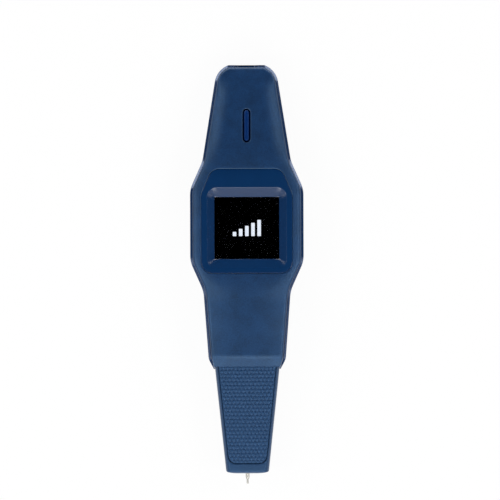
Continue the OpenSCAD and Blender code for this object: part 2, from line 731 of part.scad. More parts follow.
// Packages on the board: a pair between the screws and the ribbon, a pair between the display and the switch
chip_lo = (collar_s + screw_from_collar + boss_d / 2 + ribbon_s - connector_l / 2) / 2;
chip_hi = (view_s + view_h / 2 + panel_lap + button_s - switch_w / 2) / 2;
module chip_pair(w, h, s) for (way = [-1, 1])
  translate([way * (w + chip_gap) / 2 - w / 2, s - w / 2, board_top]) cube([w, w, h]);
module board_chips() color("#1a1a1c") {
  chip_pair(chip_w, chip_h, chip_lo);
  chip_pair(small_chip_w, small_chip_h, chip_hi);
}

// The button's flange rests under the guide and its stem on the switch's plunger
stem_z = board_top + switch_h + plunger_h;
flange_z = stem_z + stem_l;
guide_z = flange_z + button_flange_t + slide_gap;
module push_switch() color("#2a2a2c") difference() {
  translate([-switch_w / 2, button_s - switch_w / 2, board_top]) cube([switch_w, switch_w, switch_h]);
  translate([0, button_s, board_top + switch_h - plunger_in - button_travel - seat_gap])
    cylinder(d = plunger_d + 2 * slide_gap, h = switch_h);
}
module switch_plunger() color("#d0c9b8")
  translate([0, button_s, board_top + switch_h - plunger_in])
    cylinder(d = plunger_d, h = plunger_h + plunger_in);
module button_cap() color("#0e3472") {
  tilt = atan((face_z(button_s + 1) - face_z(button_s - 1)) / 2);
  difference() {
    translate([0, button_s, flange_z]) {
      linear_extrude(head_t - flange_z + button_proud) stadium(button_w, button_l);
      linear_extrude(button_flange_t)
        stadium(button_w + 2 * button_flange, button_l + 2 * button_flange);
      translate([0, 0, stem_z - flange_z])
        cylinder(d = stem_d, h = stem_l + button_flange_t / 2);
    }
    translate([0, button_s, face_z(button_s) + button_proud]) rotate([tilt, 0, 0])
      translate([-button_l, -button_l, 0]) cube(2 * button_l);
  }
}

// The charging socket is a folded sheet round a tongue, open at the tail end
socket_end = case_l - reveal - socket_sink;
module socket_body(shrink, s0, s1) along(s0, 0, parting_z) linear_extrude(s1 - s0)
  rotate(90) stadium(socket_h - 2 * shrink, socket_w - 2 * shrink);
module charging_socket() color("#c4c7cb") difference() {
  socket_body(0, socket_end - socket_l, socket_end);
  socket_body(socket_wall, socket_end - socket_l + socket_back, socket_end + over);
}
module socket_tongue() color("#17171a")
  block(tongue_w, socket_end - socket_l + socket_back, socket_end - tongue_sink, parting_z - tongue_t / 2,
    parting_z + tongue_t / 2);

battery_s = head_mid - battery_l / 2 - view_drop;
battery_end = battery_s + battery_l;
plug_from = battery_end + battery_lead_l;
module battery_pad() color("#3b3b3d")
  block(battery_w - 2 * pad_step, battery_s + pad_step, battery_end - pad_step, wall, battery_z);
module battery() color("#b9bcc0")
  block(battery_w, battery_s, battery_end, battery_z, battery_z + battery_t);
module battery_connector() color("#ece9df")
  block(plug_w, plug_from, plug_from + plug_depth, board_z - plug_h, board_z);
module battery_leads() color("#b3202a") for (way = [-1, 1])
  rod(battery_lead_d, battery_end, plug_from, way * (battery_lead_d + battery_lead_gap) / 2,
    board_z - plug_h / 2);

sounder_s = collar_s + screw_from_collar + boss_d / 2 + sounder_d / 2 + sounder_gap;
module sounder() color("#141414") translate([0, sounder_s, board_z - sounder_h]) difference() {
  cylinder(d = sounder_d, h = sounder_h);
  translate([0, 0, -over]) cylinder(d = sounder_hole_d, h = sounder_h / 2 + over);
}

module case_screw() difference() {
  union() {
    translate([0, 0, -screw_head_h]) cylinder(d = screw_head_d, h = screw_head_h);
    cylinder(d = screw_d, h = screw_l);
  }
  for (turn = [0, 90]) rotate(turn) translate([-slot_l / 2, -slot_w / 2, -screw_head_h - over])
    cube([slot_l, slot_w, over + screw_head_h / 2]);
}
module case_screws() color("#7d8084")
  for (p = screw_places) translate([p[0], p[1], screw_seat]) case_screw();

// The probe: a metal tip that slides in a fixed sleeve, pushed out by a spring in the barrel
module probe_tip() color("#c9c9c6") {
  point = tip_d / 2;
  rod(tip_d, -probe_out + point, carrier_s);
  along(-probe_out, 0, nose_z) cylinder(d1 = tip_d / 2, d2 = tip_d, h = point);
}
module probe_sleeve() color("#dcdcd8") difference() {
  union() {
    rod(sleeve_d, -sleeve_out + sleeve_taper, barrel_s);
    along(-sleeve_out, 0, nose_z)
      cylinder(d1 = tip_d + 2 * slide_gap + 2 * sleeve_lip, d2 = sleeve_d, h = sleeve_taper);
  }
  rod(tip_d + 2 * slide_gap, -sleeve_out - over, barrel_s + over);
}
module probe_bush() color("#e9e6dc") difference() {
  rod(seat_d - 2 * press_gap, bush_s, bush_s + bush_l);
  rod(sleeve_d + 2 * press_gap, bush_s - over, bush_s + bush_l + over);
}
module probe_barrel() color("#b08d4a") difference() {
  rod(seat_d - 2 * press_gap, barrel_s, barrel_s + barrel_l);
  rod(tip_d + 4 * slide_gap, barrel_s - over, barrel_s + barrel_stop + over);
  rod(chamber_d, barrel_s + barrel_stop, barrel_s + barrel_l + over);
}
module probe_carrier() color("#b87333") {
  rod(chamber_d - 2 * slide_gap, carrier_s, carrier_s + carrier_l);
  rod(spigot_d, carrier_s, spring_s + spigot_l);
}
// A pin on the plug stops the carrier's spigot at the end of the travel
module probe_plug() color("#e9e6dc") difference() {
  union() {
    rod(chamber_d - 2 * press_gap, plug_s, plug_s + plug_l);
    rod(spigot_d, spring_s + spigot_l + probe_travel + slide_gap, plug_s + plug_l / 2);
  }
  for (way = [-1, 1])
    rod(lead_d + 2 * press_gap, plug_s + plug_l / 2, plug_s + plug_l + over, way * lead_x);
}

// Spring: one wire wound between the carrier's shoulder and the plug
spring_r = spigot_d / 2 + spring_wire / 2 + slide_gap;
spring_sides = 6;
spring_rings = 10;
spring_from = spring_s + spring_wire / 2 + slide_gap;
spring_rise = plug_s - spring_wire / 2 - slide_gap - spring_from;
function spring_ring(k) =
  let (t = k / (spring_turns * spring_rings), a = 360 * spring_turns * t, out = [cos(a), 0, sin(a)])
  [for (i = [0:spring_sides - 1]) let (b = -360 * i / spring_sides)
    out * (spring_r + spring_wire / 2 * cos(b))
      + [0, spring_from + spring_rise * t + spring_wire / 2 * sin(b), nose_z]];
echo(spring_gap = spring_rise / spring_turns - spring_wire);
module probe_spring() color("#c8cace") {
  count = spring_turns * spring_rings;
  n = spring_sides;
  polyhedron([for (k = [0:count]) each spring_ring(k)], concat(
    [[for (i = [0:n - 1]) i]],
    [for (k = [0:count - 1], i = [0:n - 1])
      let (a = k * n + i, b = k * n + (i + 1) % n) each [[a, a + n, b + n], [a, b + n, b]]],
    [[for (i = [n - 1:-1:0]) count * n + i]]));
}

lead_end = board_s + link_land;
module probe_connector() color("#ece9df")
  block(link_w, lead_end, lead_end + link_l, board_top, nose_z + lead_d);
module probe_leads() color("#7a1f24") for (way = [-1, 1])
  rod(lead_d, plug_s + plug_l / 2, lead_end, way * lead_x);

place() front_shell();
place() rear_shell();
place() nose_sleeve();
place() front_grip();
place() rear_grip();
place() screen_bezel();
place() display_window();
place() display_gasket();
place() display_panel();
place() display_holder();
place() display_flex();
place() flex_connector();
place() main_board();
place() board_chips();
place() push_switch();
place() switch_plunger();
place() button_cap();
place() charging_socket();
place() socket_tongue();
place() battery();
place() battery_pad();
place() battery_leads();
place() battery_connector();
place() sounder();
place() case_screws();
place() probe_tip();
place() probe_sleeve();
place() probe_bush();
place() probe_barrel();
place() probe_carrier();
place() probe_spring();
place() probe_plug();
place() probe_leads();
place() probe_connector();
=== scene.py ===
"""Handheld gem tester on its back: shells, nose, grips, bezel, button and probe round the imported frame."""
import math

import bmesh
import bpy
import numpy as np
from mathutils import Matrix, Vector


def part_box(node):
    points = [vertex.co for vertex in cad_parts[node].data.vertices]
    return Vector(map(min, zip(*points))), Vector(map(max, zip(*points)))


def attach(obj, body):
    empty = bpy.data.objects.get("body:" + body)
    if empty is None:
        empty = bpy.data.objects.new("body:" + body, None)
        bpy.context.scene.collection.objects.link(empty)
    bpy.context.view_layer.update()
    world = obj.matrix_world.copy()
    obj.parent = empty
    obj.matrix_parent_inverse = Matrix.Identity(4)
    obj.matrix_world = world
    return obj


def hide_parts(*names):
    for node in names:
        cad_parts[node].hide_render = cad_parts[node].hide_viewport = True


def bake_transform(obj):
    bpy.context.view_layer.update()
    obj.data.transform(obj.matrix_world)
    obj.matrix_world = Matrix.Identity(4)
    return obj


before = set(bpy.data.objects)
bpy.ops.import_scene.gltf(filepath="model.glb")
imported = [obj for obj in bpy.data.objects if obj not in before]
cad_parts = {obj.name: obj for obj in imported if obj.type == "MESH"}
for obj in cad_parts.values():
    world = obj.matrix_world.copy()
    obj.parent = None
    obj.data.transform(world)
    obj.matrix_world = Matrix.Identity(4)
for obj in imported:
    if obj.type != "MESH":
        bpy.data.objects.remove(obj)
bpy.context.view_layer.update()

# Lengths are in millimetres. Along the case, s runs from the nose's end to the tail; z rises from the back.
MM = 0.001
WELD = 2e-6
CLEAR = 0.01


def span(node):
    """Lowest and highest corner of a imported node, in millimetres."""
    low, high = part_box(node)
    return np.array(low) / MM, np.array(high) / MM


rear_low, rear_high = span("rear_shell")
front_high = span("front_shell")[1]
nose_low, nose_high = span("nose_sleeve")
bezel_low, bezel_high = span("screen_bezel")
glass_low, glass_high = span("display_window")
cap_low, cap_high = span("button_cap")
tip_low, tip_high = span("probe_tip")
metal_low, metal_high = span("probe_sleeve")

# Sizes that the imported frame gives; the rear rim shows a little more than the solids' rim
rim_more = 0.3
nose_y = nose_low[1]
case_l = rear_high[1] - nose_y
collar_s = rear_low[1] - nose_y
head_w = rear_high[0] - rear_low[0]
parting_z = rear_high[2]
head_t = front_high[2]
reveal = rear_high[0] - front_high[0] + rim_more
nose_z = (nose_low[2] + nose_high[2]) / 2
nose_back = nose_high[1] - nose_y
bezel_from = bezel_low[1] - nose_y
bezel_to = bezel_high[1] - nose_y
bezel_w = bezel_high[0] - bezel_low[0]
bezel_z = bezel_low[2]
bezel_top = bezel_high[2]
view_s = (glass_low[1] + glass_high[1]) / 2 - nose_y
panel_top = span("display_panel")[1][2]
button_s = (cap_low[1] + cap_high[1]) / 2 - nose_y

# Case outline: four shoulders between straights, and the tail's corners
head_s = 89.2
head_l = 30.5
waist_w = 36.8
neck_w = 37.4
collar_w = 32.0
tail_w = 24.5
shoulder_angle = math.radians(24)
shoulder_r = 12.0
waist_r = 15.0
tail_r = 9.0
tail_kink = math.radians(20)

# Case depth and edges
tail_t = 17.5
collar_t = 2 * nose_z
wall = 2.0
end_wall = 2.6
edge_run = 0.8
edge_drop = 0.9
edge_start = 0.8
edge_foot = 0.4
tail_crown = 1.5
waist_crown = 1.4
back_run = 6.0
back_rise = 5.0
back_draft = 0.25
collar_drop = 1.9
collar_run = 3.6
collar_rake = 1.3
collar_soft = 0.5
fall_blend = 8.0
crown_blend = 12.0
crown_rest = 0.8
head_crown = 0.75
roll_w = 6.5
end_drop = 0.7
end_roll = 5.5
face_land = 0.8
joint_gap = 0.22
joint_depth = 0.7
rim_slope = math.radians(33)
rim_flat = 0.06
tuck_limit = 1.0
tuck_end = 0.35
sink_end = 0.5

# Nose and grip pads
nose_end_half = np.array([8.9, 4.9])
nose_base_half = np.array([13.5, 7.5])
nose_edge = np.array([2.0, 3.4])
nose_bulge = 0.7
nose_dome_l = 1.54
nose_wall = 1.8
nose_end_wall = 3.0
probe_tube_r = 3.8
probe_seat_r = 2.2
probe_tube_l = 26.0
nose_hole_r = 1.05
nose_hole_l = 1.2
spring_wire = 0.35
spring_turns = 7
seat_gap = 0.1
grip_rim = 1.5
grip_end = 4.3
grip_r = 3.2
grip_t = 1.0
grip_groove = 0.24
dot_across = 1.64
dot_along = 3.18
dot_r = 0.72
dot_rise = 0.2

# Bezel, window and button
bezel_top_w = 29.4
bezel_slant = 10.7
bezel_r = 5.0
bezel_lip = 0.4
view_w = 27.2
view_h = 26.0
slope_side = 3.0
slope_end = 4.0
dish_r = 4.0
view_r = 0.3
button_l = 13.2
button_w = 2.3
button_gap = 0.5
button_proud = 0.3
button_flange = 1.3
button_flange_t = 0.8
button_stem_r = 1.4
socket_w = 8.9
socket_h = 3.2
screw_hole_r = 1.3
screw_head_r = 2.3
screw_seat = 2.4
well_lip = 0.25
mouth_lip = 0.3


def stacked(*coordinates):
    """Points from their coordinates, each an array or one number for all."""
    return np.stack(np.broadcast_arrays(*coordinates), axis=-1)


def put(name, data):
    """New object with the given data, linked into the scene."""
    thing = bpy.data.objects.new(name, data)
    bpy.context.scene.collection.objects.link(thing)
    return thing


class Skin:
    """Faces gathered from point grids and closed into one mesh."""

    def __init__(self):
        self.points = []
        self.faces = []
        self.count = 0

    def add(self, points):
        """Keeps the points and returns their numbers in the same layout."""
        points = np.asarray(points, float)
        numbers = self.count + np.arange(points[..., 0].size).reshape(points.shape[:-1])
        self.points.append(points.reshape(-1, 3))
        self.count += numbers.size
        return numbers

    def grid(self, points, around=False):
        """One quad between each four neighbours of a grid; around joins the last column to the first."""
        n = self.add(points)
        if around:
            n = np.concatenate([n, n[:, :1]], axis=1)
        quads = np.stack([n[:-1, :-1], n[:-1, 1:], n[1:, 1:], n[1:, :-1]], axis=-1)
        self.faces += quads.reshape(-1, 4).tolist()
        return self

    def disc(self, loop):
        """One flat face inside a closed loop of points."""
        self.faces.append(self.add(loop).tolist())
        return self

    def tube(self, loops):
        """Closed solid through equal loops: quads round them and a flat face on the first and the last."""
        return self.grid(loops, around=True).disc(loops[0]).disc(loops[-1])

    def ring(self, loops):
        """Closed solid through equal loops, the last of them joined to the first."""
        return self.grid(np.concatenate([loops, loops[:1]]), around=True)

    def make(self, name):
        """Welds the points that meet, turns the faces outwards and returns the object."""
        points = np.concatenate(self.points)
        points[:, 1] += nose_y
        mesh = bpy.data.meshes.new(name)
        mesh.from_pydata((points * MM).tolist(), [], self.faces)
        bm = bmesh.new()
        bm.from_mesh(mesh)
        bmesh.ops.remove_doubles(bm, verts=bm.verts, dist=WELD)
        bmesh.ops.recalc_face_normals(bm, faces=bm.faces)
        bm.to_mesh(mesh)
        bm.free()
        return put(name, mesh)


def solid(name, loops):
    """Piece through equal loops, closed at both ends."""
    return Skin().tube(np.array(loops)).make(name)


def carve(piece, cutters, operation="DIFFERENCE"):
    """Takes the cutters out of a piece, or joins them to it, by exact booleans, and keeps the result."""
    for cutter in cutters:
        step = piece.modifiers.new("carve", "BOOLEAN")
        step.operation = operation
        step.solver = "EXACT"
        step.object = cutter
    graph = bpy.context.evaluated_depsgraph_get()
    mesh = bpy.data.meshes.new_from_object(piece.evaluated_get(graph))
    piece.modifiers.clear()
    piece.data = mesh
    mesh.name = piece.name
    for cutter in cutters:
        bpy.data.objects.remove(cutter)


def dress(piece, body, material, nodes=(), crease=34):
    """Smooth shading with creases past an angle, one material, and the piece's place in the frame.
    A piece with no body of its own is left unattached."""
    piece.data.shade_smooth()
    piece.data.set_sharp_from_angle(angle=math.radians(crease))
    piece.data.materials.clear()
    piece.data.materials.append(material)
    if body:
        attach(piece, body)
    if nodes:
        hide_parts(*nodes)
    return piece


def mix(a, b, t):
    """Straight blend from a at t 0 to b at t 1."""
    return a + (b - a) * t


def ease(t):
    """Smooth step from 0 to 1: three t squared less two t cubed."""
    t = np.clip(t, 0, 1)
    return t * t * (3 - 2 * t)


def soft_min(a, b, soft):
    """The lesser of a and b, with the crossing rounded over the width soft."""
    h = np.clip(0.5 + 0.5 * (b - a) / soft, 0, 1)
    return mix(b, a, h) - soft * h * (1 - h)


def rounded(corners, radii, steps=8, closed=True):
    """Line through corners, each replaced by an arc tangent to both sides; a radius of 0 keeps it."""
    corners = np.asarray(corners, float)
    line = []
    for i, (p, r) in enumerate(zip(corners, radii)):
        if r <= 0 or (not closed and i in (0, len(corners) - 1)):
            line.append(p[None])
            continue
        a = corners[i - 1] - p
        b = corners[(i + 1) % len(corners)] - p
        a = a / np.linalg.norm(a)
        b = b / np.linalg.norm(b)
        half = math.acos(np.clip(a @ b, -1, 1)) / 2
        middle = p + (a + b) / np.linalg.norm(a + b) * r / math.sin(half)
        first = p + a * r / math.tan(half) - middle
        last = p + b * r / math.tan(half) - middle
        turn = np.linspace(0, math.pi - 2 * half, steps + 1)[:, None]
        across = last - first * math.cos(math.pi - 2 * half)
        across = across / np.linalg.norm(across) * r
        line.append(middle + first * np.cos(turn) + across * np.sin(turn))
    return np.concatenate(line)


def by_angle(outline, centre, angles):
    """Distance from the centre to a closed outline in each direction, read off points spread along it."""
    count = 8000
    loop = np.concatenate([outline, outline[:1]])
    along = np.concatenate([[0], np.cumsum(np.linalg.norm(np.diff(loop, axis=0), axis=1))])
    even = np.linspace(0, along[-1], count, endpoint=False)
    away = stacked(np.interp(even, along, loop[:, 0]), np.interp(even, along, loop[:, 1])) - centre
    heading = np.arctan2(away[:, 1], away[:, 0])
    return np.interp(angles, heading, np.linalg.norm(away, axis=1), period=2 * math.pi)


# Corners of the case's right side as distance along and half width, and the heading of each straight
shoulder_l = 1 / math.tan(shoulder_angle)
corners = np.array([
    [collar_s, collar_w / 2],
    [head_s - (head_w - waist_w) / 2 * shoulder_l, waist_w / 2],
    [head_s, head_w / 2],
    [head_s + head_l, head_w / 2],
    [head_s + head_l + (head_w - neck_w) / 2 * shoulder_l, neck_w / 2],
    [case_l, tail_w / 2]])
headings = np.arctan2(np.diff(corners[:, 1]), np.diff(corners[:, 0]))
tail_middle = np.array([
    case_l - tail_r * math.cos(tail_kink),
    tail_w / 2 + tail_r * (math.cos(tail_kink) * math.tan(-headings[4]) - 1 / math.cos(headings[4]))])
bend_steps = 9
tail_steps = 28
collar_crowd = 1.6
straight_parts = [np.linspace(0, 1, n)[1:-1] for n in (92, 11, 28, 11, 46)]
straight_parts[0] = straight_parts[0] ** collar_crowd


def side(inset, start):
    """Right side of the case moved inwards by each inset, from the distance start to the tail's flat end.
    A bend keeps its middle while its radius changes by the inset, so all insets have equally many points."""
    d = np.asarray(inset, float)[..., None]
    heading = headings[0]
    first = corners[0, 1] + (start - collar_s) * math.tan(heading) - d / math.cos(heading)
    arcs = [stacked(start, first)]
    for corner, a, b in zip(corners[1:5], headings[:4], headings[1:]):
        radius = shoulder_r if b < a else -waist_r
        reach = abs(radius) * math.tan(abs(b - a) / 2)
        middle_s = corner[0] - reach * math.cos(a) + radius * math.sin(a)
        middle_w = corner[1] - reach * math.sin(a) - radius * math.cos(a)
        turn = np.linspace(a, b, bend_steps)
        away = d - radius
        arcs.append(stacked(middle_s + away * np.sin(turn), middle_w - away * np.cos(turn)))
    stop = np.arcsin((tail_r * math.cos(tail_kink) - d) / (tail_r - d))
    turn = mix(-headings[4], stop, np.linspace(0, 1, tail_steps))
    away = tail_r - d
    arcs.append(stacked(tail_middle[0] + away * np.sin(turn), tail_middle[1] + away * np.cos(turn)))
    path = [arcs[0]]
    for a, b, part in zip(arcs, arcs[1:], straight_parts):
        path += [mix(a[..., -1:, :], b[..., :1, :], part[:, None]), b]
    return np.concatenate(path, axis=-2)


# Face of the front shell: flat over the bezel, falling to the tail and to the collar, and crowned there
face_from = bezel_from - face_land
face_to = bezel_to + face_land


def fall(u):
    """Nothing before 0, then a slope of one that a parabola of length fall_blend leads in."""
    u = np.maximum(u, 0)
    return np.where(u < fall_blend, u * u / (2 * fall_blend), u - fall_blend / 2)


tail_slope = (head_t - tail_t) / fall(case_l - face_to)
waist_slope = (head_t - collar_t) / fall(face_from - collar_s)


def face_height(s):
    """Height of the face's middle: two falls from the bezel's level, and a parabola over the tail's end."""
    roll = np.maximum(1 - (case_l - reveal - edge_run - s) / end_roll, 0) ** 2
    return head_t - tail_slope * fall(s - face_to) - waist_slope * fall(face_from - s) - end_drop * roll


def on_waist(s):
    """Share of the waist's form: 0 over the head and the tail, 1 below the bezel."""
    return ease((face_from - s) / crown_blend)


def crown(s):
    """Drop of the face's side edges below its middle: low beside the bezel, more over the tail and the
    waist, less at the collar and none at the tail's end."""
    tail_room = case_l - reveal - edge_run - face_to
    waist_room = face_from - collar_s - collar_rake - collar_run
    to_tail = ease((s - face_to) / crown_blend)
    tail = mix(head_crown, tail_crown, to_tail) * ease((tail_room - s + face_to) / crown_blend)
    waist = waist_crown * mix(crown_rest, 1, ease((waist_room - face_from + s) / crown_blend))
    return mix(tail, waist, on_waist(s))


def drop_across(s, x, half):
    """Drop of the face at x: over head and tail a parabola that starts roll_w from the side edge, over the
    waist one from the middle."""
    roll = np.maximum(1 - (half - np.abs(x)) / np.minimum(roll_w, half), 0) ** 2
    return crown(s) * mix(roll, (x / half) ** 2, on_waist(s))


def edge_top(s):
    """Height of the face at its side edges: its middle less the crown."""
    return face_height(s) - crown(s)


def edge_low(s):
    """Height where the rounded side edge starts: edge_drop below its top, but above the parting plane."""
    return np.maximum(parting_z + edge_foot, edge_top(s) - edge_drop)


def nose_half(s):
    """Half width and half thickness of the nose, linear from its end to the collar."""
    t = np.asarray(s, float)[..., None] / collar_s
    return mix(nose_end_half, nose_base_half, t)


def nose_loop(s, grow=0.0, share=1.0, size_at=None, steps=9):
    """Rounded oblong across the nose at s: four elliptic quarters with straights between them."""
    least_edge = 0.3
    half = nose_half(s if size_at is None else size_at) + grow
    edge = np.maximum(nose_edge + grow, least_edge)
    quarter = np.linspace(0, math.pi / 2, steps)
    a = (np.arange(4)[:, None] * math.pi / 2 + quarter).ravel()
    sign_x = np.repeat([1, -1, -1, 1], steps)
    sign_z = np.repeat([1, 1, -1, -1], steps)
    x = share * (sign_x * (half[0] - edge[0]) + edge[0] * np.cos(a))
    z = nose_z + share * (sign_z * (half[1] - edge[1]) + edge[1] * np.sin(a))
    return stacked(x, s, z)


def collar_trim(points, tuck):
    """Bevels the four sides of the lower end: x and z give way to slopes that open upwards from the end face
    and follow the crown, with the crossing rounded; the end is raked back in step with the height off the
    nose's middle. tuck moves the side planes of each row inwards, so that the joint's groove runs on over
    the bevel; tuck and crown are less at the end face, which stays outside the nose's mouth."""
    x, s, z = np.moveaxis(points, -1, 0)
    open_by = (s - collar_s) * collar_drop / collar_run
    start = ease((s - collar_s) / collar_run)
    tuck = tuck * mix(tuck_end, 1, start)
    x = np.sign(x) * soft_min(np.abs(x), collar_w / 2 - collar_drop + open_by - tuck, collar_soft)
    deep = nose_z - collar_drop
    half = collar_w / 2 - reveal - edge_run
    sink = crown(collar_s) * np.minimum(np.abs(x) / half, 1) ** 2 * mix(sink_end, 1, start)
    sink = np.where(z > nose_z, sink, 0)
    away = np.sign(z - nose_z) * (soft_min(np.abs(z - nose_z) + sink, deep + open_by, collar_soft) - sink)
    fade = 1 - ease((s - collar_s - 2 * collar_run) / (4 * collar_run))
    rake = collar_rake * np.clip(np.abs(away) / deep, 0, 1) * fade
    return stacked(x, s + rake, nose_z + away)


# Inside of the shells, and the steps across their faces
cavity_s = collar_s + end_wall
mouth_step = 0.6
inner_inset = reveal + wall
across = np.linspace(1, -1, 45)


def half_case(insets, heights, cap, start):
    """Points over one shell: rings up its right side, rows across its face, rings down its left side, and a
    second grid over the flat tail end; the third result is each row's tuck. heights gives each ring's z and
    cap the face's z."""
    path = side(insets, start)
    s, w = path[..., 0], path[..., 1]
    z = heights(s, w)
    rows = across[1:-1, None]
    face_s = np.broadcast_to(s[-1], (len(rows), s.shape[1]))
    face_z = cap(face_s, rows * w[-1], w[-1])
    x_all = np.concatenate([w, rows * w[-1], -w[::-1]])
    s_all = np.concatenate([s, face_s, s[::-1]])
    z_all = np.concatenate([z, face_z, z[::-1]])
    end_z = np.tile(z[:, -1], (len(across), 1))
    end_z[1:-1, -1] = face_z[:, -1]
    end = stacked(across[:, None] * w[:, -1], s[:, -1], end_z)
    tuck = np.minimum(insets, tuck_limit)
    tuck_all = np.concatenate([tuck, np.zeros(len(rows)), tuck[::-1]])[:, None]
    return stacked(x_all, s_all, z_all), end, tuck_all


def close_case(name, outer, inner, upper):
    """Closed shell from its outside and inside grids: a land and a mouth round the nose join them at the
    collar, flat faces join them along the parting plane."""
    outer, outer_end, tuck = outer
    inner, inner_end = inner[:2]
    outer = collar_trim(outer, tuck)
    rim = outer[:, 0]
    mouth = nose_loop(collar_s, seat_gap)[:, [0, 2]]
    angle = np.arctan2(rim[:, 2] - nose_z, rim[:, 0])
    away = by_angle(mouth, np.array([0, nose_z]), angle)
    limit = np.maximum if upper else np.minimum
    z = limit(nose_z + away * np.sin(angle), parting_z)
    z[[0, -1]] = parting_z
    face = stacked(away * np.cos(angle), rim[:, 1], z)
    deep = stacked(face[:, 0], cavity_s, z)
    skin = Skin()
    skin.grid(outer).grid(outer_end).grid(inner).grid(inner_end)
    skin.grid(np.stack([rim, face, deep, inner[:, 0]]))
    skin.grid(np.stack([outer_end[:, 0], inner_end[:, 0]]))
    for k in (0, -1):
        skin.disc(np.concatenate([outer[k], inner[k, ::-1], [deep[k], face[k]]]))
    return skin.make(name)


def bezel_line(grow):
    """Outline of the bezel grown on every side: square below, slanted shoulders above, all corners round."""
    low = bezel_w / 2 + grow
    high = bezel_top_w / 2 + grow
    bend = bezel_to - bezel_slant
    r = bezel_r + grow
    points = [[low, bezel_from - grow], [low, bend], [high, bezel_to + grow]]
    return rounded(points + [[-x, s] for x, s in points[::-1]], [r, bezel_r, r, r, bezel_r, r], steps=14)


def capsule(width, length, steps=14):
    """Slim outline with round ends about the origin, its length along s."""
    turn = np.linspace(0, math.pi, steps)
    r = width / 2
    top = stacked(r * np.cos(turn), length / 2 - r + r * np.sin(turn))
    return np.concatenate([top, -top])


def flared_cutter(name, outline, heights, grows):
    """Upright cutter whose outline grows level by level; a height may be a surface, z over x and s."""
    loops = []
    for height, grow in zip(heights, grows):
        line = outline(grow)
        z = height(*line.T) if callable(height) else height
        loops.append(stacked(*line.T, z))
    return solid(name, loops)


def lip(radius, steps=6):
    """Quarter round that leads a cutter's wall out to just past a face: how far below, how far outwards."""
    turn = np.linspace(0, math.pi / 2, steps)
    return radius * (1 - np.sin(turn)) - CLEAR, radius * (1 - np.cos(turn))


def chamfer(run, drop):
    """Softened slope that leads a cutter's wall out to just past a face: how far below, how far outwards."""
    below = np.array([1.12, 1.0, 0.9, 0.5, 0.1, 0.0]) * drop - CLEAR
    out = np.array([0.0, 0.03, 0.12, 0.5, 0.9, 1.12]) * run
    return below, out


def button_outline(grow):
    """Outline of the button grown on every side, at its place along the case."""
    return capsule(button_w + 2 * grow, button_l + 2 * grow) + [0, button_s]


def socket_cutter(name):
    """Flat capsule through the tail's end wall, opened by a small round lip at the outside."""
    below, out = lip(mouth_lip)
    s = np.concatenate([[case_l - 3 * wall], case_l - reveal - below, [case_l + wall]])
    grow = np.concatenate([[0], out, out[-1:]]) + seat_gap
    lines = [capsule(socket_h + 2 * g, socket_w + 2 * g) for g in grow]
    loops = [stacked(line[:, 1], at, parting_z + line[:, 0]) for at, line in zip(s, lines)]
    return solid(name, loops)


def build_case_front(material):
    """Front shell: an upright foot, part of an ellipse that ends at the slope of the crowned face, and that
    face, with the bezel's pocket, the button's slot and the charging mouth cut through it."""
    foot = 0.15
    inner_round = 0.5
    most_share = 0.35
    opening_run = 0.3
    pocket_drop = 0.12
    slot_drop = 0.18
    past = 0.02
    edge_turn = np.linspace(0, math.pi / 2, 17)[:, None]
    up = 1 - np.cos(edge_turn)
    insets = np.concatenate([[reveal + foot, reveal], reveal + edge_run * up[:, 0]])
    inner_insets = np.concatenate([[inner_inset] * 2, inner_inset + inner_round * up[:, 0]])

    def foot_heights(s):
        """The two lowest rings: on the parting plane and a foot above it."""
        return np.stack([np.full_like(s[0], parting_z), np.full_like(s[0], parting_z + foot)])

    def heights(s, w):
        """Rings of the outside: the foot, then an ellipse cut off where its slope is the face's."""
        drop = edge_top(s[2:]) - edge_low(s[2:])
        along = np.gradient(s[-1])
        out = np.gradient(w[-1])
        falls = np.gradient(edge_top(s[-1])) / along
        reach = mix(np.minimum(roll_w, w[-1]), w[-1], on_waist(s[-1]))
        pitch = (2 * crown(s[-1]) / reach * along + falls * out) / np.hypot(along, out)
        share = np.clip(pitch * edge_run / drop, 0, most_share)
        stop = share / (1 - share)
        part = mix(edge_start, stop, up)
        first = math.sqrt(1 - edge_start ** 2)
        rise = drop * (np.sqrt(1 - part ** 2) - first) / (np.sqrt(1 - stop ** 2) - first)
        return np.concatenate([foot_heights(s), edge_low(s[2:]) + rise])

    def cap(s, x, half):
        """Height of the face: its middle less the drop at x."""
        return face_height(s) - drop_across(s, x, half)

    def inner_heights(s, w):
        """Rings of the inside: the foot, then a quarter round that ends one wall below the edge."""
        top = edge_top(s[2:]) - wall
        bottom = np.maximum(top - inner_round, parting_z + 2 * foot)
        return np.concatenate([foot_heights(s), mix(bottom, top, np.sin(edge_turn))])

    def inner_cap(s, x, half):
        """Height of the inside: one wall below the face."""
        return cap(s, x, half) - wall

    outer = half_case(insets, heights, cap, collar_s)
    inner = half_case(inner_insets, inner_heights, inner_cap, cavity_s + mouth_step)
    piece = close_case("case_front", outer, inner, upper=True)
    face_edge = side([reveal + edge_run], collar_s)[0]

    def opening(name, outline, floor_z, drop, gap):
        """Cutter from floor_z up through the face, with a small slope where it comes out."""
        below, out = chamfer(opening_run, drop)
        levels = [lambda x, s, b=b: cap(s, x, np.interp(s, *face_edge.T)) - b for b in below]
        grows = np.concatenate([[0], out, out[-1:] + past]) + gap
        return flared_cutter(name, outline, [floor_z, *levels, head_t + wall], grows)

    pocket = opening("pocket", bezel_line, bezel_z - wall, pocket_drop, seat_gap)
    slot = opening("slot", button_outline, parting_z + 2 * wall, slot_drop, button_gap)
    carve(piece, [pocket, slot, socket_cutter("charging_mouth")])
    return dress(piece, "housing", material, ["front_shell"])


